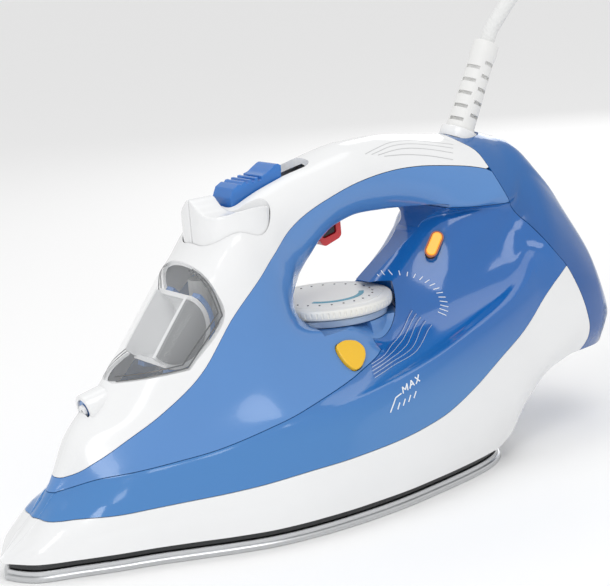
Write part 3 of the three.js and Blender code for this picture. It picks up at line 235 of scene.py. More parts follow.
def polar(radius, degrees, x=0.0, y=0.0):
    """The point at a radius and an angle about x, y."""
    angle = math.radians(degrees)
    return (x + radius * math.cos(angle), y + radius * math.sin(angle))


def grown(points, distance):
    """A closed outline moved outwards by a distance; negative moves it inwards."""
    n = len(points)
    following = points[1:] + points[:1]
    area = sum(a[0] * b[1] - a[1] * b[0] for a, b in zip(points, following))
    side = math.copysign(distance, area * distance)
    made = []
    for i, (x, y) in enumerate(points):
        xa, ya = points[i - 1]
        xb, yb = points[(i + 1) % n]
        la, lb = math.hypot(x - xa, y - ya) or 1, math.hypot(xb - x, yb - y) or 1
        nx = (y - ya) / la + (yb - y) / lb
        ny = (xa - x) / la + (x - xb) / lb
        scale = 2 * side / max(nx * nx + ny * ny, 1)
        made.append((x + nx * scale, y + ny * scale))
    return made


# ---- mesh helpers ------------------------------------------------------------------------------
def mesh_of(verts, faces, name="shape"):
    mesh = bpy.data.meshes.new(name)
    mesh.from_pydata([[c * MM for c in v] for v in verts], [], faces)
    bm = bmesh.new()
    bm.from_mesh(mesh)
    bmesh.ops.recalc_face_normals(bm, faces=bm.faces)
    bm.to_mesh(mesh)
    bm.free()
    return mesh


def prism(points, low, high, place):
    """A closed outline carried from low to high; place(u, v, w) gives the point in the frame."""
    n = len(points)
    verts = [place(u, v, low) for u, v in points] + [place(u, v, high) for u, v in points]
    faces = [list(range(n)), list(range(2 * n - 1, n - 1, -1))]
    faces += [[i, (i + 1) % n, n + (i + 1) % n, n + i] for i in range(n)]
    return mesh_of(verts, faces)


def slab(points, y0=-90, y1=90):
    return prism(points, y0, y1, lambda x, z, y: (x, y, z))


def plate(points, z0, z1):
    return prism(points, z0, z1, lambda x, y, z: (x, y, z))


def box(x0, x1, y0, y1, z0, z1):
    return plate([(x0, y0), (x1, y0), (x1, y1), (x0, y1)], z0, z1)


def turned(profile, sides=96):
    """A body turned about +Z. The profile starts and ends on the axis, or closes on itself."""
    closed = profile[0] == profile[-1]
    rows = profile[:-1] if closed else profile
    verts, rings = [], []
    for r, z in rows:
        if r < 1e-6:
            rings.append([len(verts)] * sides)
            verts.append((0, 0, z))
        else:
            rings.append(range(len(verts), len(verts) + sides))
            verts += [(r * math.cos(2 * math.pi * k / sides), r * math.sin(2 * math.pi * k / sides), z)
                      for k in range(sides)]
    faces = []
    for i in range(len(rings) if closed else len(rings) - 1):
        low, high = rings[i], rings[(i + 1) % len(rings)]
        for k in range(sides):
            j = (k + 1) % sides
            face = list(dict.fromkeys([low[k], low[j], high[j], high[k]]))
            if len(face) > 2:
                faces.append(face)
    return mesh_of(verts, faces)


def rod(radius, z0, z1, sides):
    return turned([(0, z0), (radius, z0), (radius, z1), (0, z1)], sides)


def moved(mesh, matrix):
    scaled = matrix.copy()
    scaled.translation = matrix.translation * MM
    mesh.transform(scaled)
    return mesh


def at(mesh, x=0.0, y=0.0, z=0.0):
    return moved(mesh, Matrix.Translation((x, y, z)))


def lean(degrees):
    return Vector((math.sin(math.radians(degrees)), 0, math.cos(math.radians(degrees))))


def aimed(mesh, direction, point):
    turn = Vector((0, 0, 1)).rotation_difference(Vector(direction)).to_matrix().to_4x4()
    return moved(mesh, Matrix.Translation(point) @ turn)


def combine(a, b, operation):
    """The boolean of two closed meshes, as a new mesh."""
    first = bpy.data.objects.new("first", a)
    second = bpy.data.objects.new("second", b)
    for o in (first, second):
        bpy.context.scene.collection.objects.link(o)
    step = first.modifiers.new("cut", "BOOLEAN")
    step.operation = operation
    step.solver = "MANIFOLD"
    step.object = second
    made = bpy.data.meshes.new_from_object(first.evaluated_get(bpy.context.evaluated_depsgraph_get()))
    for o in (first, second):
        bpy.data.objects.remove(o)
    return made


def cut(body, *tools):
    for tool in tools:
        body = combine(body, tool, "DIFFERENCE")
    return body


def both(body, tool):
    return combine(body, tool, "INTERSECT")


def joined(*bodies):
    made = bodies[0]
    for body in bodies[1:]:
        made = combine(made, body, "UNION")
    return made


def piece(name, mesh, material, body="housing", replaces=(), angle=32, bevel=0.0, segments=3, soften=()):
    """A finished piece: its mesh, material, soft edges and the CAD nodes that it stands for."""
    mesh.name = name
    obj = bpy.data.objects.new(name, mesh)
    bpy.context.scene.collection.objects.link(obj)
    if bevel:
        weld = bpy.data.meshes.new(name)
        bm = bmesh.new()
        bm.from_mesh(mesh)
        bmesh.ops.remove_doubles(bm, verts=bm.verts, dist=0.02 * MM)
        bmesh.ops.dissolve_limit(bm, angle_limit=math.radians(1.2), verts=bm.verts, edges=bm.edges)
        bm.to_mesh(weld)
        bm.free()
        obj.data = weld
        step = obj.modifiers.new("soft edges", "BEVEL")
        step.width = bevel * MM
        step.segments = segments
        step.limit_method = "ANGLE"
        step.angle_limit = math.radians(30)
        step.harden_normals = True
    if soften:
        step = obj.modifiers.new("even skin", "REMESH")
        step.mode = "VOXEL"
        step.voxel_size = soften[0] * MM
        step.use_smooth_shade = True
        step = obj.modifiers.new("soft edges", "SMOOTH")
        step.iterations = soften[1]
    obj.data.materials.clear()
    obj.data.materials.append(material)
    obj.data.shade_smooth()
    obj.data.set_sharp_from_angle(angle=math.radians(angle))
    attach(obj, body)
    if replaces:
        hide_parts(*replaces)
    return obj


def detail(node, mesh, material, **more):
    """The finished piece that stands for one CAD node."""
    return piece(node + "_detail", mesh, material, replaces=[node], **more)


def sweep(points, radius, sides):
    """A round wire along points, with flat ends."""
    n = len(points)
    path = [Vector(p) for p in points]
    verts, faces = [], []
    side = None
    for i, p in enumerate(path):
        along = (path[min(i + 1, n - 1)] - path[max(i - 1, 0)]).normalized()
        if side is None:
            side = along.orthogonal()
        side = (side - along * side.dot(along)).normalized()
        up = along.cross(side)
        for k in range(sides):
            angle = 2 * math.pi * k / sides
            verts.append(tuple(p + (side * math.cos(angle) + up * math.sin(angle)) * radius))
    for i in range(n - 1):
        for k in range(sides):
            a, b = i * sides + k, i * sides + (k + 1) % sides
            faces.append([a, b, b + sides, a + sides])
    faces += [list(range(sides)), list(range((n - 1) * sides, n * sides))]
    return mesh_of(verts, faces)


# ---- the body loft -----------------------------------------------------------------------------
def rail_section(x):
    keel, crest = follow(KEEL, x)[1], follow(CREST, x)[1]
    return [(0, keel)] + [tuple(follow(rail, x)) for rail in RAILS] + [(0, crest)]


def rounded(section, per=4):
    """The half section with smooth curves between its rails and a round crest."""
    mirror = (-section[-2][0], section[-2][1])
    curve = smooth([*section[1:], mirror], per)
    return [section[0], *curve[:per * (len(section) - 2) + 1]]


def outer_section(x):
    half = rounded(rail_section(x))
    return [(max(w, 0.0), z) for w, z in half[:-1]] + [(0, half[-1][1])]


def smoothstep(x, low, high):
    t = min(max((x - low) / (high - low), 0), 1)
    return t * t * (3 - 2 * t)


def inner_section(x):
    """The section moved inwards by the wall; in front of the heel it stays open below."""
    section = rail_section(x + 2.4 * smoothstep(x, 112, 150))
    last = len(section) - 1
    drop = 8 * (1 - smoothstep(x, 80, 92))
    made = [(0, section[0][1] + WALL - drop)]
    for i in range(1, last):
        (wa, za), (w, z), (wb, zb) = section[i - 1:i + 2]
        length = math.hypot(wb - wa, zb - za) or 1
        inward = max(w - WALL * (zb - za) / length, 0.3 + 0.02 * (last - i))
        rise = WALL - drop if i == 1 else WALL * (wb - wa) / length
        made.append((inward, z + rise))
    made.append((0, section[last][1] - WALL))
    return made


def loft(stations, section_at):
    verts, faces = [], []
    for x in stations:
        half = section_at(x)
        verts += [(x, -w, z) for w, z in half] + [(x, w, z) for w, z in half[-2:0:-1]]
    n = len(verts) // len(stations)
    for s in range(len(stations) - 1):
        for i in range(n):
            j = (i + 1) % n
            faces.append([s * n + i, s * n + j, (s + 1) * n + j, (s + 1) * n + i])
    for start in (0, (len(stations) - 1) * n):
        faces.append([start, start + 1, start + n - 1])
        for i in range(1, n // 2 - 1):
            faces.append([start + i, start + i + 1, start + n - i - 1, start + n - i])
        faces.append([start + n // 2 - 1, start + n // 2, start + n // 2 + 1])
    return mesh_of(verts, faces)


def steps(low, high, size):
    count = max(1, round((high - low) / size))
    return [low + (high - low) * i / count for i in range(count + 1)]


OUTER_STATIONS = steps(-151, -136, 1.5) + steps(-134, 138, 2.5) + steps(140, 160.5, 1.5)
INNER_STATIONS = steps(-128, 157.6, 6)


def dial_cylinder(radius, z0, z1, sides=128):
    return at(rod(radius, z0, z1, sides), DIAL_X)


def round_corner(points, radius=0.0, per=6):
    """A closed outline with every corner rounded off."""
    made = []
    n = len(points)
    for i in range(n):
        a, b, c = (Vector(points[(i + k) % n]) for k in (-1, 0, 1))
        reach = min(radius, 0.45 * (a - b).length, 0.45 * (c - b).length)
        p, q = b + (a - b).normalized() * reach, b + (c - b).normalized() * reach
        made += [tuple((p * (1 - t) + b * t) * (1 - t) + (b * (1 - t) + q * t) * t)
                 for t in (k / per for k in range(per + 1))]
    return made


hole_line = smooth(HAND_HOLE[:-1], 5) + [HAND_HOLE[-1]]
tank_line = smooth(TANK_LINE, 5)
fin_line = smooth(FIN_LINE, 5)
cover_line = smooth(COVER_LINE, 5)
heel_line = smooth(HEEL_LINE, 5)
SHELF = [(22, 65), (22, 95), (40, 100), (60, 112), (73, 117), (78, 117), (90, 115.8), (106, 115)]

hand_opening = joined(slab(hole_line), dial_cylinder(SLOT_RADIUS, DIAL_SEAT, SLOT_TOP))
hand_inside = joined(slab(grown(hole_line, WALL)),
                     dial_cylinder(SLOT_RADIUS + WALL, DIAL_SEAT - WALL, SLOT_TOP + WALL))
foot_curve = smooth([(34, 60), (31.6, 63), (29.6, 67), (28, 71.5), (27.2, 74.4), (26.4, DIAL_SEAT)], 6)
foot = both(at(turned([(0, 60), *foot_curve, (0, DIAL_SEAT)], 128), DIAL_X),
            slab([(24, 50), (60, 50), (60, 90), (24, 90)]))
outer = loft(OUTER_STATIONS, outer_section)
inner = loft(INNER_STATIONS, inner_section)
hull = joined(outer.copy(), foot)
skin = cut(cut(hull, hand_opening.copy()), cut(inner, hand_inside))

bm = bmesh.new()
bm.from_mesh(cut(outer.copy(), hand_opening.copy()))
surface = BVHTree.FromBMesh(bm)
bm.free()


def split(line, low, high):
    """The stretch of a side-view line whose z lies between two heights."""
    return [p for p in line if low < p[1] < high]


heel_top, heel_middle = split(heel_line, 131.2, 999), split(heel_line, 115.3, 130.8)
heel_side, heel_low = split(heel_line, 84.1, 114.8), split(heel_line, 0, 83.6)
lower_region = [(-170, -5), *shifted(tank_line, 0, -HALF), *shifted(heel_low, -HALF, 0), (120, -5)]
tank_region = [*shifted(tank_line, 0, HALF), *shifted(heel_side, -HALF, 0)[::-1],
               *shifted(SHELF, HALF, -HALF)[::-1], *shifted(fin_line, 0, -HALF)[::-1]]
upper_region = [*shifted(fin_line, 0, HALF), *shifted(SHELF, -HALF, HALF),
                *shifted(heel_middle, -HALF, 0)[::-1],
                *shifted([p for p in cover_line if p[0] < 99.4], 0, -HALF)[::-1]]
cover_region = [*shifted([p for p in cover_line if p[0] < 99], 0, HALF),
                *shifted(heel_top, -HALF, 0)[::-1], (90, 190), (-170, 190)]
heel_region = [(90, 190), *shifted(heel_line, HALF, 0), (129, 20), (190, 20), (190, 190)]
door_outline = [DOOR[0], *smooth(DOOR[1:5], 6)[:-1], *DOOR[4:]]


# ---- shapes that cut the mouldings -------------------------------------------------------------
def on_surface(points, low, high, origin, normal, along):
    """An outline set on the body: its own axis runs along the surface normal."""
    n = Vector(normal).normalized()
    u = Vector(along)
    u = (u - n * n.dot(u)).normalized()
    v = n.cross(u)
    o = Vector(origin)
    return prism(points, low, high, lambda a, b, c: tuple(o + u * a + v * b + n * c))


FLUSH = ((5.5, -36.5, 66.5), (0.06, -0.75, 0.66), (1, 0, 0))
LAMP = ((68, -19.5, 101.5), (-0.42, -0.72, 0.55), (0.55, 0, 0.83))
FLUSH_OUTLINE = round_corner([(-6.6, 5.4), (-1, 7), (5, 5.6), (7.4, 1.4), (5.4, -3), (0.4, -7.4),
                              (-3.6, -8.2), (-6.2, -4), (-7, 1.4)], 2.4)
LAMP_OUTLINE = [(3.6 * math.copysign(1, math.cos(a)) + 2.3 * math.cos(a), 2.3 * math.sin(a))
                for a in (math.pi * (i + 0.5) / 20 for i in range(40))]
BUTTON_HALF = [(-46.5, -0.3), (-45.8, -7), (-43, -12.5), (-38, -17), (-32, -20), (-25.5, -21),
               (-19.5, -19.6), (-17, -16.5), (-18.5, -13.6), (-24, -12), (-30, -10.8), (-33.4, -7),
               (-34, -0.3)]
BUTTON_CURVE = smooth(BUTTON_HALF, 6)
BUTTONS_OUTLINE = BUTTON_CURVE + [(x, -y) for x, y in reversed(BUTTON_CURVE)]
BUTTON_TOP = smooth([(-24, 136), (-21, 135.2), (-17, 133.4), (-13, 132.6), (-9, 133.6), (-5, 136.6),
                     (0, 139.8), (5, 136.6), (9, 133.6), (13, 132.6), (17, 133.4), (21, 135.2), (24, 136)], 6)


def flush_shape(gap, low, high=8):
    return on_surface(grown(FLUSH_OUTLINE, gap), low, high, *FLUSH)


def lamp_shape(gap, low, high=6):
    return on_surface(grown(LAMP_OUTLINE, gap), low, high, *LAMP)


def seen_from_side(point, side=-1):
    """The place on the body beside a point of the side view, and the surface normal there."""
    start = Vector((point[0] * MM, side * 0.2, point[1] * MM))
    return surface.ray_cast(start, Vector((0, -side, 0)))[:2]


def seen_from_top(point):
    """The place on the body under a point of the plan."""
    return surface.ray_cast(Vector((point[0] * MM, point[1] * MM, 0.3)), Vector((0, 0, -1)))[:2]


def strips(lines, width, locate=seen_from_side, lift=0.06):
    """Flat strips that follow the body's surface, as printed or moulded lines do."""
    verts, faces = [], []
    for line in lines:
        spots = [spot for spot in (locate(p) for p in line) if spot[0] is not None]
        if len(spots) < 2:
            continue
        first = len(verts)
        for i, (place, normal) in enumerate(spots):
            along = spots[min(i + 1, len(spots) - 1)][0] - spots[max(i - 1, 0)][0]
            across = normal.cross(along).normalized() * (width / 2)
            centre = place / MM
            verts += [tuple(centre + across + normal * lift), tuple(centre - across + normal * lift),
                      tuple(centre - across - normal * lift), tuple(centre + across - normal * lift)]
        for i in range(len(spots) - 1):
            a, b = first + 4 * i, first + 4 * i + 4
            faces += [[a + k, a + (k + 1) % 4, b + (k + 1) % 4, b + k] for k in range(4)]
        last = first + 4 * (len(spots) - 1)
        faces += [[first, first + 3, first + 2, first + 1], [last, last + 1, last + 2, last + 3]]
    return mesh_of(verts, faces)


# ---- camera, light and floor -------------------------------------------------------------------
def camera():
    data = bpy.data.cameras.new("camera")
    data.sensor_width = 36
    data.lens = 102.3
    data.clip_start = 0.01
    obj = bpy.data.objects.new("camera", data)
    azimuth, elevation, roll = (math.radians(a) for a in (-33.745, 12.805, -5.195))
    back = Vector((math.sin(azimuth) * math.cos(elevation), -math.cos(azimuth) * math.cos(elevation),
                   math.sin(elevation)))
    level = Vector((math.cos(azimuth), math.sin(azimuth), 0))
    right = level * math.cos(roll) + back.cross(level) * math.sin(roll)
    up = back.cross(right)
    turn = Matrix((right, up, back)).transposed().to_4x4()
    target, distance = Vector((0.00865, 0, 0.0881)), 0.77136
    obj.matrix_world = Matrix.Translation(target + back * distance) @ turn
    bpy.context.scene.collection.objects.link(obj)
    bpy.context.scene.camera = obj


def softbox(name, place, towards, width, height, power):
    data = bpy.data.lights.new(name, "AREA")
    data.shape = "RECTANGLE"
    data.size, data.size_y = width, height
    data.energy = power
    obj = bpy.data.objects.new(name, data)
    obj.location = place
    obj.rotation_euler = (Vector(towards) - Vector(place)).to_track_quat("-Z", "Y").to_euler()
    bpy.context.scene.collection.objects.link(obj)


def studio():
    scene = bpy.context.scene
    scene.view_settings.view_transform = "Standard"
    world = bpy.data.worlds.new("studio")
    world.use_nodes = True
    sky = world.node_tree.nodes["Background"].inputs
    sky["Color"].default_value, sky["Strength"].default_value = (1, 1, 1, 1), 0.8
    scene.world = world
    softbox("key", (-0.2, -0.52, 0.85), (0, 0, 0.08), 0.5, 0.42, 1.6)
    softbox("top", (0.05, 0.15, 1.05), (0, 0, 0.08), 0.9, 0.4, 1.1)
    softbox("side strip", (-0.75, -0.55, 0.4), (-0.05, 0, 0.08), 0.14, 0.8, 1.3)
    softbox("rim", (0.8, 0.65, 0.5), (0.1, 0, 0.1), 0.4, 0.6, 1.2)
    reach = 40000
    corners = [(-reach, -reach, 0), (reach, -reach, 0), (reach, reach, 0), (-reach, reach, 0)]
    floor = bpy.data.objects.new("floor", mesh_of(corners, [[0, 1, 2, 3]], "floor"))
    paper = bpy.data.materials.new("paper")
    paper.use_nodes = True
    shader = paper.node_tree.nodes["Principled BSDF"]
    shader.inputs["Base Color"].default_value = (0.96, 0.96, 0.96, 1)
    shader.inputs["Roughness"].default_value = 0.9
    floor.data.materials.append(paper)
    bpy.context.scene.collection.objects.link(floor)


# ---- materials ---------------------------------------------------------------------------------
def add_node(material, kind, **inputs):
    """A new shader node with its named inputs set."""
    node = material.node_tree.nodes.new("ShaderNode" + kind)
    for socket, value in inputs.items():
        node.inputs[socket.replace("_", " ")].default_value = value
    return node


def placed(material, node):
    """The node, fed with the object's own coordinates."""
    where = add_node(material, "TexCoord")
    material.node_tree.links.new(where.outputs["Object"], node.inputs["Vector"])
    return node


def link_shader(material, output, socket):
    shader = material.node_tree.nodes["Principled BSDF"]
    material.node_tree.links.new(output, shader.inputs[socket])


def add_bump(material, height, strength, distance=0.0001):
    bump = add_node(material, "Bump", Strength=strength, Distance=distance)
    material.node_tree.links.new(height, bump.inputs["Height"])
    link_shader(material, bump.outputs["Normal"], "Normal")


def add_colours(material, factor, first, second):
    """The shader's colour goes from the first to the second with the factor."""
    shade = add_node(material, "Mix")
    shade.data_type = "RGBA"
    shade.inputs["A"].default_value = (*first, 1)
    shade.inputs["B"].default_value = (*second, 1)
    material.node_tree.links.new(factor, shade.inputs["Factor"])
    link_shader(material, shade.outputs["Result"], "Base Color")


def finish(name, color, rough=0.25, vary=0.06, grain=0.0, grain_size=0.25, **sockets):
    """A moulded or metal finish: faint colour drift, uneven gloss and a fine grain."""
    material = bpy.data.materials.new(name)
    material.use_nodes = True
    tint = 0.03
    drift = placed(material, add_node(material, "TexNoise", Scale=34, Detail=2))
    add_colours(material, drift.outputs["Fac"], [c * (1 - tint) for c in color],
                [min(c * (1 + tint), 1) for c in color])

    smear = placed(material, add_node(material, "TexNoise", Scale=210, Detail=4))
    gloss = add_node(material, "MapRange", To_Min=max(rough - vary, 0.02), To_Max=rough + vary)
    material.node_tree.links.new(smear.outputs["Fac"], gloss.inputs["Value"])
    link_shader(material, gloss.outputs["Result"], "Roughness")

    if grain:
        fine = placed(material, add_node(material, "TexNoise", Scale=1000 / grain_size, Detail=3))
        add_bump(material, fine.outputs["Fac"], grain)
    shader = material.node_tree.nodes["Principled BSDF"]
    for socket, value in sockets.items():
        shader.inputs[socket.replace("_", " ")].default_value = value
    return material


def brushed(name, color, rough):
    """Metal with fine lines along one direction."""
    material = finish(name, color, rough, 0.05, Metallic=1.0)
    stretch = placed(material, add_node(material, "Mapping", Scale=(40, 900, 900)))
    lines = add_node(material, "TexNoise", Scale=3, Detail=5)
    material.node_tree.links.new(stretch.outputs["Vector"], lines.inputs["Vector"])
    add_bump(material, lines.outputs["Fac"], 0.25)
    return material


def graded(material, low, high, z0, z1):
    """Painted light and shade: blends the colour between two heights, in place of the light that gathers in a
    clear tinted wall.
    """
    axes = placed(material, add_node(material, "SeparateXYZ"))
    ramp = add_node(material, "MapRange", From_Min=z0 * MM, From_Max=z1 * MM)
    ramp.interpolation_type = "SMOOTHSTEP"
    material.node_tree.links.new(axes.outputs["Z"], ramp.inputs["Value"])
    add_colours(material, ramp.outputs["Result"], low, high)


def braid(name, color):
    """A woven cord cover: two sets of crossing threads."""
    material = finish(name, color, 0.7, 0.08, Sheen_Weight=0.3)
    cross = add_node(material, "Math")
    cross.operation = "MAXIMUM"
    for i, turn in enumerate((0.9, -0.9)):
        spin = placed(material, add_node(material, "Mapping", Rotation=(0.4, turn, turn)))
        wave = add_node(material, "TexWave", Scale=190, Distortion=0.4)
        material.node_tree.links.new(spin.outputs["Vector"], wave.inputs["Vector"])
        material.node_tree.links.new(wave.outputs["Fac"], cross.inputs[i])
    add_bump(material, cross.outputs[0], 0.6, 0.0003)
    return material


white = finish("white gloss", (0.8, 0.805, 0.81), 0.16, 0.04, 0.02, Coat_Weight=0.4, Coat_Roughness=0.08)
blue = finish("blue gloss", (0.085, 0.235, 0.54), 0.2, 0.04, 0.02, Coat_Weight=0.5, Coat_Roughness=0.06)
tank_blue = finish("clear blue", (0.02, 0.14, 0.55), 0.12, 0.03, 0.015, Coat_Weight=0.6, Coat_Roughness=0.04,
                   Transmission_Weight=0.12)
# painted light and shade: the tank's blue is painted lighter low down and darker high up
graded(tank_blue, (0.055, 0.225, 0.55), (0.008, 0.135, 0.46), 40, 72)
heel_blue = finish("heel blue", (0.01, 0.12, 0.5), 0.1, 0.03, 0.015, Coat_Weight=0.6, Coat_Roughness=0.04,
                   Transmission_Weight=0.25)
# painted light and shade: the heel cover's blue is painted darker low down and lighter high up
graded(heel_blue, (0.004, 0.105, 0.4), (0.012, 0.15, 0.47), 60, 145)
charcoal = finish("charcoal", (0.022, 0.024, 0.026), 0.38, 0.08, 0.15)
sole_metal = brushed("sole", (0.62, 0.63, 0.64), 0.3)
clear = finish("clear door", (0.8, 0.82, 0.84), 0.06, 0.02, Alpha=0.11, Coat_Weight=0.3)
clear_blue = finish("clear slider", (0.05, 0.25, 0.72), 0.14, 0.04, 0.02, Transmission_Weight=0.35)
grey = finish("grey moulding", (0.32, 0.33, 0.34), 0.42, 0.08, 0.12)
cup_grey = finish("cup grey", (0.2, 0.205, 0.21), 0.35, 0.06, 0.1)
ring_blue = finish("ring blue", (0.01, 0.16, 0.48), 0.2, 0.04, 0.02, Coat_Weight=0.4)
# pale moulding, also used as the painted highlight beside the dish grooves
pale = finish("pale moulding and painted highlight", (0.62, 0.62, 0.61), 0.45, 0.08, 0.12)
dark = finish("dark moulding", (0.03, 0.03, 0.033), 0.45, 0.08, 0.15)
rubber = finish("rubber", (0.035, 0.035, 0.037), 0.62, 0.08, 0.3)
boot_rubber = finish("boot rubber", (0.77, 0.77, 0.76), 0.42, 0.06, 0.15)
cream = finish("dial cream", (0.83, 0.82, 0.77), 0.3, 0.05, 0.06)
window = finish("dial window", (0.55, 0.68, 0.86), 0.12, 0.03, Transmission_Weight=0.3, Coat_Weight=0.4)
yellow = finish("button yellow", (0.86, 0.5, 0.01), 0.18, 0.04, 0.02, Coat_Weight=0.4)
amber = finish("lamp amber", (0.95, 0.36, 0.02), 0.15, 0.04, Emission_Color=(1, 0.33, 0.02, 1),
               Emission_Strength=0.55)
amber_dark = finish("lamp rim", (0.35, 0.08, 0.01), 0.3, 0.04)
red = finish("trigger red", (0.6, 0.012, 0.02), 0.2, 0.04, 0.03, Coat_Weight=0.4)
steel = brushed("inner steel", (0.55, 0.55, 0.56), 0.34)
casting = finish("die casting", (0.5, 0.5, 0.51), 0.5, 0.1, 0.6, 0.8, Metallic=1.0)
cloth = braid("braided cover", (0.74, 0.745, 0.74))
# painted shade: grey for the shade of the handle's moulded ridges
shade_grey = finish("ridge shade grey", (0.5, 0.505, 0.51), 0.4, 0.05, 0.05)
# painted shade: dark blue for the shade in the dish's moulded grooves
groove_shade_blue = finish("groove shade blue", (0.01, 0.07, 0.3), 0.4, 0.05, 0.05)
lip_grey = finish("door lip", (0.12, 0.125, 0.13), 0.25, 0.05, 0.05)
print_white = finish("print white", (0.8, 0.83, 0.86), 0.4, 0.05, 0.05)
teal = finish("print teal", (0.03, 0.3, 0.42), 0.4, 0.05, 0.05)


camera()
studio()


# ---- cord --------------------------------------------------------------------------------------
def boot_point(distance):
    return tuple(Vector((BOOT_X, 0, BOOT_Z)) + lean(BOOT_LEAN) * distance)


def coil_point(degrees, radius, height):
    return (*polar(radius, degrees, COIL_X), height)


def lead_route():
    """Out of the boot, over in one arch, down to the floor, round the coil and on to the plug."""
    route = [boot_point(BOOT_LENGTH + 0.3), boot_point(BOOT_LENGTH + 6), (131.5, 0, 196.5), (139, 0, 204),
             (149, 0, 212), (161, 0, 218.2), (174, 0, 221.4)]
    for k in range(6):
        angle = math.radians(15 * k)
        route.append((186 + 30 * math.sin(angle), 0.2 * k, 192 + 30 * math.cos(angle)))
    for k in range(9):
        share = smoothstep(k / 8, 0, 1)
        route.append((216 + 44.4 * share, 1 + 49.8 * share, 192 - 129.3 * k / 8))
    for k in range(1, 6):
        angle = math.radians(18 * k)
        reach = 32 * math.cos(angle)
        route.append((242 + 0.574 * reach, 24.6 + 0.819 * reach, 62.7 - 32 * math.sin(angle)))
    crossing = [coil_point(145 + 15 * k, 42.8 - 7.8 * smoothstep(k, 0, 9), 30.7 - 5.6 * smoothstep(k, 2, 12))
                for k in range(1, 12)]
    inner_turns = [coil_point(325 + 15 * k, COIL_INNER, 25.1 - 7.3 * k / 24) for k in range(70)]
    outwards = [coil_point(1375 + 15 * k, COIL_INNER + (COIL_OUTER - COIL_INNER) * smoothstep(k, 0, 8),
                           max(COIL_FLOOR, 25.1 - 7.3 * (70 + k) / 24)) for k in range(8)]
    outer_turns = [coil_point(1495 + 935 * k / 64, COIL_OUTER, COIL_FLOOR + 19.6 * k / 64) for k in range(65)]
    tail = [(291, -42.2, 22.8), (304, -42.4, 21.6), (312, -42.7, 20.7), (321, -43.1, 19.9),
            (330, -43.6, 19.3), (338.3, -44, 19)]
    return route + crossing + inner_turns + outwards + outer_turns + tail


def lead():
    data = bpy.data.curves.new("lead", "CURVE")
    data.dimensions = "3D"
    data.bevel_depth = CORD_DIAMETER / 2 * MM
    data.bevel_resolution = 5
    data.use_fill_caps = True
    spline = data.splines.new("POLY")
    fine = smooth(lead_route(), 3)
    spline.points.add(len(fine) - 1)
    for point, place in zip(spline.points, fine):
        point.co = (*[c * MM for c in place], 1)
    data.materials.append(cloth)
    obj = bpy.data.objects.new("lead", data)
    bpy.context.scene.collection.objects.link(obj)
    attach(obj, "housing")
    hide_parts("cord", "cord_coil", "cord_tail")
    length = sum((Vector(b) - Vector(a)).length for a, b in zip(fine, fine[1:]))
    return obj, length


lead_piece, lead_length = lead()

# ---- mouldings ---------------------------------------------------------------------------------
lower = both(skin.copy(), slab(lower_region))
piece("lower_housing_shell", lower, white, replaces=["lower_housing"])

foot_side = box(DIAL_X, 60, -40, 40, 55, 78)
tank = cut(both(skin.copy(), slab(tank_region)), both(dial_cylinder(30 + SEAM, 55, 78), foot_side.copy()),
           lamp_shape(SEAM, -10), flush_shape(SEAM, -8))
piece("water_tank_shell", tank, tank_blue, replaces=["water_tank"])

upper = both(skin.copy(), joined(slab(upper_region), both(dial_cylinder(30, 55, 78), foot_side.copy())))
upper = cut(upper, dial_cylinder(3.4, 60, 80, 32), box(9.5, 28, -7.2, 7.2, 104, 126), flush_shape(SEAM, -8))
piece("upper_shell_smooth", upper, blue, replaces=["upper_shell"])

nozzle_axis = lean(90 - NOZZLE_LEAN)
nozzle_place = (NOZZLE_X, 0, NOZZLE_Z)
cover = both(skin.copy(), slab(cover_region))
spout = turned([(0, 0.3), (5.9, 0), (6.4, 0.25), (6.6, 0.9), (6.6, 10.5), (0, 10.5)], 64)
spout_bore = turned([(0, -1), (4.9, -1), (4.6, 0.6), (4.6, 6), (0, 6)], 64)
cover = joined(cover, aimed(spout, nozzle_axis, nozzle_place))
cover = cut(cover, aimed(spout_bore, nozzle_axis, nozzle_place),
            plate(grown(BUTTONS_OUTLINE, 0.4), 115, 160),
            plate(round_corner([(-31, -8.6), (13, -8.6), (13, 8.6), (-31, 8.6)], 5), 125, 160),
            slab(door_outline))
piece("top_cover_shell", cover, white, replaces=["top_cover"])

door = both(both(skin.copy(), slab(grown(door_outline, -DOOR_GAP))), slab(cover_region))
piece("filler_door_shell", door, clear, body="door", replaces=["filler_door"])

boot_hole = aimed(rod(9, -14, 12, 64), lean(BOOT_LEAN), (BOOT_X, 0, BOOT_Z))
heel = cut(both(skin.copy(), slab(heel_region)), boot_hole)
piece("heel_cover_shell", heel, heel_blue, replaces=["heel_cover"])

for name, side, half in (
    ("lower", [(160.8, 45.6), (166.5, 45.6), (163.1, 55.4), (160.8, 55.4)], 15),
    ("upper", [(145.2, 104), (145.9, 104), (142.3, 114), (140.4, 114)], 8),
):
    piece("heel_foot_" + name + "_pad", slab(side, -half, half), rubber, bevel=1.0,
          replaces=["heel_foot_" + name])

# ---- sole --------------------------------------------------------------------------------------
SOLE_SIDE = [(-147, 7), (-141.5, 14.2), (-127, 21), (-112, 28), (-97, 34), (-82, 41.2), (-67, 48.3),
             (-51.5, 54.3), (-33.5, 57.8), (-13.7, 59.2), (8, 58.7), (33, 55.4), (61, 49.8), (74, 45),
             (83, 38.5), (88.5, 29), (91, 15)]


def sole_outline(inset):
    side = smooth([(-150, 0), *SOLE_SIDE, (91.4, 0)], 5)
    left = [(x, -w) for x, w in side[1:]]
    return grown([side[0], *left, *side[-2:0:-1]], -inset)


def stacked(rows):
    """Outlines of the sole at several insets and heights, joined into one closed body."""
    rings = [sole_outline(inset) for inset, _ in rows]
    n = len(rings[0])
    verts = [(x, y, z) for ring, (_, z) in zip(rings, rows) for x, y in ring]
    faces = [list(range(n)), list(range((len(rows) - 1) * n, len(rows) * n))]
    for start in range(0, (len(rows) - 1) * n, n):
        faces += [[start + i, start + (i + 1) % n, start + n + (i + 1) % n, start + n + i] for i in range(n)]
    return mesh_of(verts, faces)


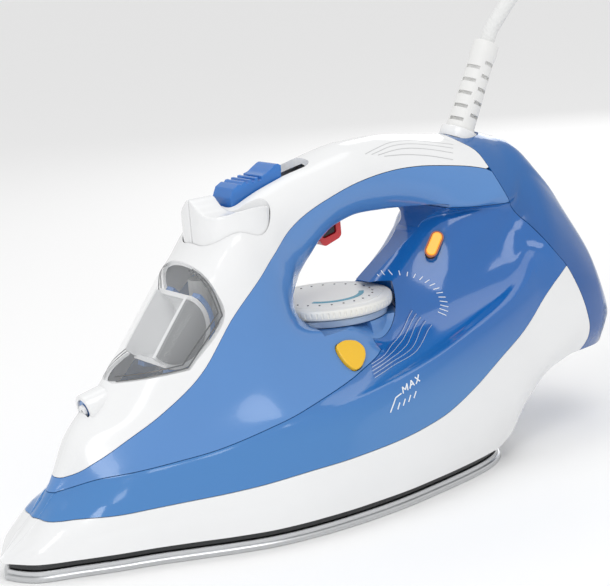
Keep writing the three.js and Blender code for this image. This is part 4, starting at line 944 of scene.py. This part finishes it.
steam_holes = [(-118, 0), (-104, 0)]
for x, y in ((-92, 17), (-72, 26), (-50, 33), (-26, 37), (0, 38), (26, 35)):
    steam_holes += [(x, y), (x, -y)]
sole = stacked([(1.2, 0), (0.35, 0.25), (0, 0.9), (0, 2.1), (0.35, 2.5), (1.0, 2.6), (1.25, 2.75),
                (1.3, 4.2), (1.6, 4.5)])
for x, y in steam_holes:
    sole = cut(sole, at(turned([(0, -1), (2.4, -1), (1.6, 0.9), (1.6, 6), (0, 6)], 32), x, y))
piece("sole_polished", sole, sole_metal, replaces=["soleplate"], angle=38)
band = stacked([(2.6, 4.8), (2.3, 5.1), (2.3, 7.3), (2.6, 7.7)])
upstand = stacked([(9, 7.6), (9, 13)])
piece("heat_shield_band", joined(band, upstand), charcoal, replaces=["heat_shield"], angle=38)

# ---- filler and spray nozzle -------------------------------------------------------------------
CUP_X, CUP_Z, CUP_RADIUS, CUP_HALF = -65.5, 88.5, 16, 13.5


def arc_outline(inner_radius, outer_radius, start, end, per=30):
    turn = [start + (end - start) * i / per for i in range(per + 1)]
    return ([polar(outer_radius, a, CUP_X, CUP_Z) for a in turn]
            + [polar(inner_radius, a, CUP_X, CUP_Z) for a in turn[::-1]])


cup = slab(arc_outline(CUP_RADIUS - 2, CUP_RADIUS, -118, 55), -CUP_HALF, CUP_HALF)
lining = arc_outline(0, CUP_RADIUS - 1, 0, 354)[:31]
disc = arc_outline(0, CUP_RADIUS - 2.05, 0, 354)[:31]
cavity = moved(loft(INNER_STATIONS, inner_section), Matrix.Translation((0.5, 0, -0.5)))
for y in (1 - CUP_HALF, CUP_HALF - 2):
    cup = joined(cup, both(slab(lining, y, y + 1), cavity.copy()))
detail("filler_cup", cup, white, bevel=0.3)
for name, y in (("left", -CUP_HALF), ("right", CUP_HALF - 0.95)):
    face = both(slab(disc, y, y + 0.95), cavity.copy())
    piece("filler_cup_disc_" + name, face, cup_grey, bevel=0.3, replaces=["filler_cup"])
for name, y in (("left", -CUP_HALF), ("right", CUP_HALF - 5.6)):
    ring = slab(arc_outline(CUP_RADIUS + 0.3, CUP_RADIUS + 2.6, -110, 47), y, y + 5.6)
    detail("filler_ring_" + name, ring, ring_blue, bevel=0.5)

insert = turned([(0, 1.2), (1.1, 1.2), (1.3, 0.8), (3.9, 0.6), (4.3, 0.9), (4.3, 5.7), (0, 5.7)], 64)
detail("nozzle_insert", aimed(insert, nozzle_axis, nozzle_place), blue)
tip = turned([(0.7, -0.7), (0.9, -0.9), (2.1, -0.9), (2.4, -0.7), (2.6, 0.3), (0.7, 0.3), (0.7, -0.7)], 64)
detail("nozzle_tip", aimed(tip, nozzle_axis, nozzle_place), white)

# ---- controls on the handle --------------------------------------------------------------------
PUMP_X, PUMP_Y = -37.5, 9.5
SPRING_FOOT, SPRING_HEIGHT, SPRING_RADIUS, SPRING_TURNS = 103.6, 13.95, 4.2, 4
for name, side in (("left", 1), ("right", -1)):
    outline = [(x, side * y) for x, y in smooth(BUTTON_HALF, 8)]
    profile = [(-24, 110), *BUTTON_TOP, (24, 110)]
    block = both(plate(outline, 118.2, 150), prism(profile, -60, 0, lambda y, z, x: (x, y, z)))
    detail("thumb_button_" + name, block, white, body="thumb_" + name, soften=(0.35, 14))
    # Each pump spring stands on its cylinder as one fixed coil; on the iron it shortens by the 3 mm that its
    # button travels.
    last = SPRING_TURNS * 24
    coil = [(*polar(SPRING_RADIUS, 15 * k, PUMP_X, -side * PUMP_Y),
             SPRING_FOOT + 0.65 + (SPRING_HEIGHT - 1.3) * k / last) for k in range(last + 1)]
    spring = detail("pump_spring_" + name, sweep(coil, 0.55, 10), steel)
    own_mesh(spring)

slider_top = smooth([(-27.8, 141.8), (-24, 143.6), (-17, 144.6), (-11, 145.6), (-8, 147.4), (-4.4, 149),
                     (-2.6, 148)], 4)
slider_side = [(-29.4, 131.6), (-29.6, 138), *slider_top, (-2.8, 144.4), (-3.6, 139.4)]
slider = slab(slider_side, -7.4, 7.4)
for k in range(4):
    x = -24.5 + 3.2 * k
    groove = [(x, 143.4), (x + 0.9, 142.8), (x + 1.8, 143.6), (x + 1.8, 150), (x, 150)]
    slider = cut(slider, slab(groove, -9, 9))
detail("steam_slider", slider, clear_blue, body="slider", soften=(0.25, 8))
track_side = [(-30.6, 128.4), (-30.6, 130.8), (-2, 138.4), (12.6, 141.5), (12.6, 138.8), (-2, 135.8)]
track = cut(slab(track_side, -8.2, 8.2), box(-26, -12, -2.6, 2.6, 120, 145))
detail("slider_track", track, white, bevel=0.4)

trigger_side = round_corner([(12.4, 122.5), (12.4, 115), (16.4, 109), (18, 108.4), (25.6, 110.8),
                             (26.8, 112.2), (26.8, 124)], 1.2)
trigger_window = round_corner([(17, 112), (24, 113.6), (24, 118.5), (15, 118.5)], 1)
grip = cut(slab(trigger_side, -6.4, 6.4), slab(trigger_window, -10, -4.6), slab(trigger_window, 4.6, 10))
detail("trigger", grip, red, body="trigger", bevel=0.5)
for name, y in (("left", -5.6), ("right", 4.9)):
    pad = slab(grown(trigger_window, -0.3), y, y + 0.7)
    detail("trigger_pad_" + name, pad, rubber, body="trigger", bevel=0.15)

# ---- dial, flushing button, lamp ---------------------------------------------------------------
# The dial's profile as distances in from its rim and heights above its bottom or its top.
foot_rows = [(1.8, 0), (0.4, 0.6), (0, 1.6)]
top_rows = [(0, -1.5), (0.3, -0.6), (1.1, -0.1), (4, 0.15), (4.4, -0.1), (4.8, 0.2)]
rim = [(DIAL_RADIUS - inset, DIAL_BOTTOM + rise) for inset, rise in foot_rows]
rim += [(DIAL_RADIUS - inset, DIAL_TOP + rise) for inset, rise in top_rows]
cap = turned([(0, DIAL_BOTTOM), *rim, (0, DIAL_TOP + 0.95)], 160)
for k in range(72):
    tooth = rod(0.55, DIAL_BOTTOM + 1.5, DIAL_TOP - 1.4, 8)
    cap = cut(cap, at(tooth, *polar(DIAL_RADIUS + 0.2, 5 * k)))
detail("dial_cap", at(cap, DIAL_X), cream, body="dial", angle=28)

low, high = DIAL_SEAT + 0.3, DIAL_BOTTOM - 0.3
ring = turned([(3.4, low), (26, low), (26.4, low + 0.3), (27, high - 0.3), (26.7, high), (3.4, high),
               (3.4, low)], 128)
detail("dial_ring", at(ring, DIAL_X), window)

detail("flush_button", flush_shape(0, -3.4, 1.6), yellow, body="flush", soften=(0.25, 12))
detail("lamp_lens", lamp_shape(0, -3, 0.9), amber, bevel=0.5, segments=4)

rim = cut(on_surface(grown(LAMP_OUTLINE, 0.75), -0.5, 0.3, *LAMP), lamp_shape(0.05, -3, 3))
piece("lamp_rim", rim, amber_dark)

# ---- printed lines, and painted shade and highlights of moulded lines --------------------------
near, far = [(48, 76), (35, 67.6), (22, 64), (12, 62)], [(50, 70.5), (34, 63.2), (19, 60.2), (8, 58)]
grooves = [smooth([(a * (1 - t) + c * t, b * (1 - t) + d * t) for (a, b), (c, d) in zip(near, far)], 8)
           for t in (0, 0.25, 0.5, 0.75, 1)]
# painted shade: dark blue strips on the surface stand in for the shade in the dish's moulded grooves
piece("dish_groove_shade", strips(grooves, 0.35), groove_shade_blue)
# painted highlight: pale strips just below the grooves stand in for light on their edges
piece("dish_groove_highlights", strips([shifted(line, 0, -0.4) for line in grooves], 0.16), pale)

turns = [polar(1, -52 + 10.5 * k) for k in range(18)]
ticks = [[(49 + r * 13.5 * c, 81 + r * 9.5 * s) for r in (0.9, 1.0, 1.1)] for c, s in turns]
piece("dish_ticks", strips(ticks, 0.38), print_white)

letters = ([(0, 0), (0, 1), (0.45, 0.3), (0.9, 1), (0.9, 0)], [(1.3, 0), (1.75, 1), (2.2, 0)],
           [(1.47, 0.38), (2.03, 0.38)], [(2.55, 0), (3.3, 1)], [(2.55, 1), (3.3, 0)])
level = [[(15.6 + 2.9 * x, 50.6 + 0.95 * x + 2.9 * z) for x, z in line] for line in letters]
level.append([(14.6, 50.9), (11.4, 49.8), (7.6, 44.2)])
level += [[(11.6 + 3.1 * k, 44.6 + 0.9 * k), (13.1 + 3.1 * k, 47.3 + 0.9 * k)] for k in range(4)]
level = [[(a[0] + (b[0] - a[0]) * t / 4, a[1] + (b[1] - a[1]) * t / 4)
          for a, b in zip(line, line[1:]) for t in range(5)] for line in level]
piece("level_mark", strips(level, 0.55), print_white)

ridges = [smooth([(38 + 3 * k, -13.6 - 0.6 * k), (62, -9.5 - 2.3 * k), (88 - 2 * k, -13.5 - 2.2 * k)], 10)
          for k in range(4)]
# painted shade: grey strips on the surface stand in for the shade of the handle's moulded ridges
piece("handle_ridge_shade", strips(ridges, 0.35, seen_from_top), shade_grey)

lip = smooth([(-92.6, 71.9), (-80, 73.7), (-68.6, 75.5)], 6) + smooth([(-68.3, 75.8), (-50.1, 93.9)], 6)
lip += smooth([(-50.1, 94.2), (-51.5, 105), (-54.7, 116)], 6)
for name, side in (("left", -1), ("right", 1)):
    lines = strips([lip, shifted(lip, -1.5, 1.4)], 0.6, lambda p, side=side: seen_from_side(p, side))
    piece("door_lip_" + name, lines, lip_grey, body="door")

dots = [at(rod(0.45, 0, 0.25, 12), *polar(20.5, 15 * k, DIAL_X), DIAL_TOP + 0.25) for k in range(24)]
piece("dial_dots", joined(*dots), dark, body="dial")
sector = [polar(16.5, a) for a in range(-150, -29, 6)] + [polar(14.2, a) for a in range(-30, -151, -6)]
piece("dial_arc", at(plate(sector, DIAL_TOP + 0.2, DIAL_TOP + 0.62), DIAL_X), teal, body="dial")

# ---- boot and plug -----------------------------------------------------------------------------
boot_place = (BOOT_X, 0, BOOT_Z)
seat = turned([(7.4, -3), (8.7, -3), (8.7, 1.2), (8.4, 1.8), (7.9, 2), (7.5, 1.8), (7.4, 1.2), (7.4, -3)], 96)
detail("boot_seat", aimed(seat, lean(BOOT_LEAN), boot_place), white)
sleeve = turned([(0, -5), (6.9, -5), (6.9, 3), (6.6, 4), (5.9, 36), (6.4, 38), (6.2, 44), (5.6, 44.8),
                 (4.9, BOOT_LENGTH), (0, BOOT_LENGTH)], 96)
for i in range(10):
    z = 5 + 3.2 * i
    for start in (20, 200):
        slot = box(4.1, 9, -3.6, 3.6, z, z + 1.7)
        turn = Matrix.Rotation(math.radians(start + 90 * (i % 2)), 4, "Z")
        sleeve = cut(sleeve, moved(slot, turn))
detail("cord_boot", aimed(sleeve, lean(BOOT_LEAN), boot_place), boot_rubber, body="swivel")

to_plug = Matrix.Translation((339, -44, 19)) @ Matrix.Rotation(math.radians(90), 4, "Y")
relief_curve = smooth([(5.4, 6), (7, 16), (9.5, 23.4)], 6)
relief = turned([(0, 0), (4.4, 0), (5, 0.5), *relief_curve, (9.2, 24), (0, 24)], 64)
relief_piece = detail("plug_relief", moved(relief, to_plug), boot_rubber)
plug_curve = smooth([(14.5, 27.4), (17.4, 30.4), (19, 35.6)], 6)
body = turned([(0, 24.3), (10.4, 24.3), (11.2, 24.8), *plug_curve, (19, 55.4), (18.6, 57.2), (17.4, 58),
               (0, 58)], 96)
plug_piece = detail("plug_body", moved(body, to_plug), boot_rubber)
for name, y in (("left", -9.5), ("right", 9.5)):
    pin = at(turned([(0, 58.3), (2.4, 58.3), (2.4, 75.4), (1.9, 76.8), (0.8, 77.3), (0, 77.3)], 32), 0, y)
    detail("plug_pin_" + name, moved(pin, to_plug), steel)

# ---- inner pieces keep their CAD shape ---------------------------------------------------------
INNER_LOOKS = {
    "steam_chamber": casting, "heating_element": steel, "thermostat": steel, "thermal_fuse": grey,
    "tank_floor": pale, "plunger_left": grey, "plunger_right": grey, "pump_left": pale, "pump_right": pale,
    "valve_rod": grey, "trigger_switch": dark, "dial_shaft": grey, "flush_stem": grey, "lamp_body": grey,
    "terminal_block": dark, "swivel_ball": grey,
}
for node, look in INNER_LOOKS.items():
    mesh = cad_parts[node].data
    mesh.materials.clear()
    mesh.materials.append(look)
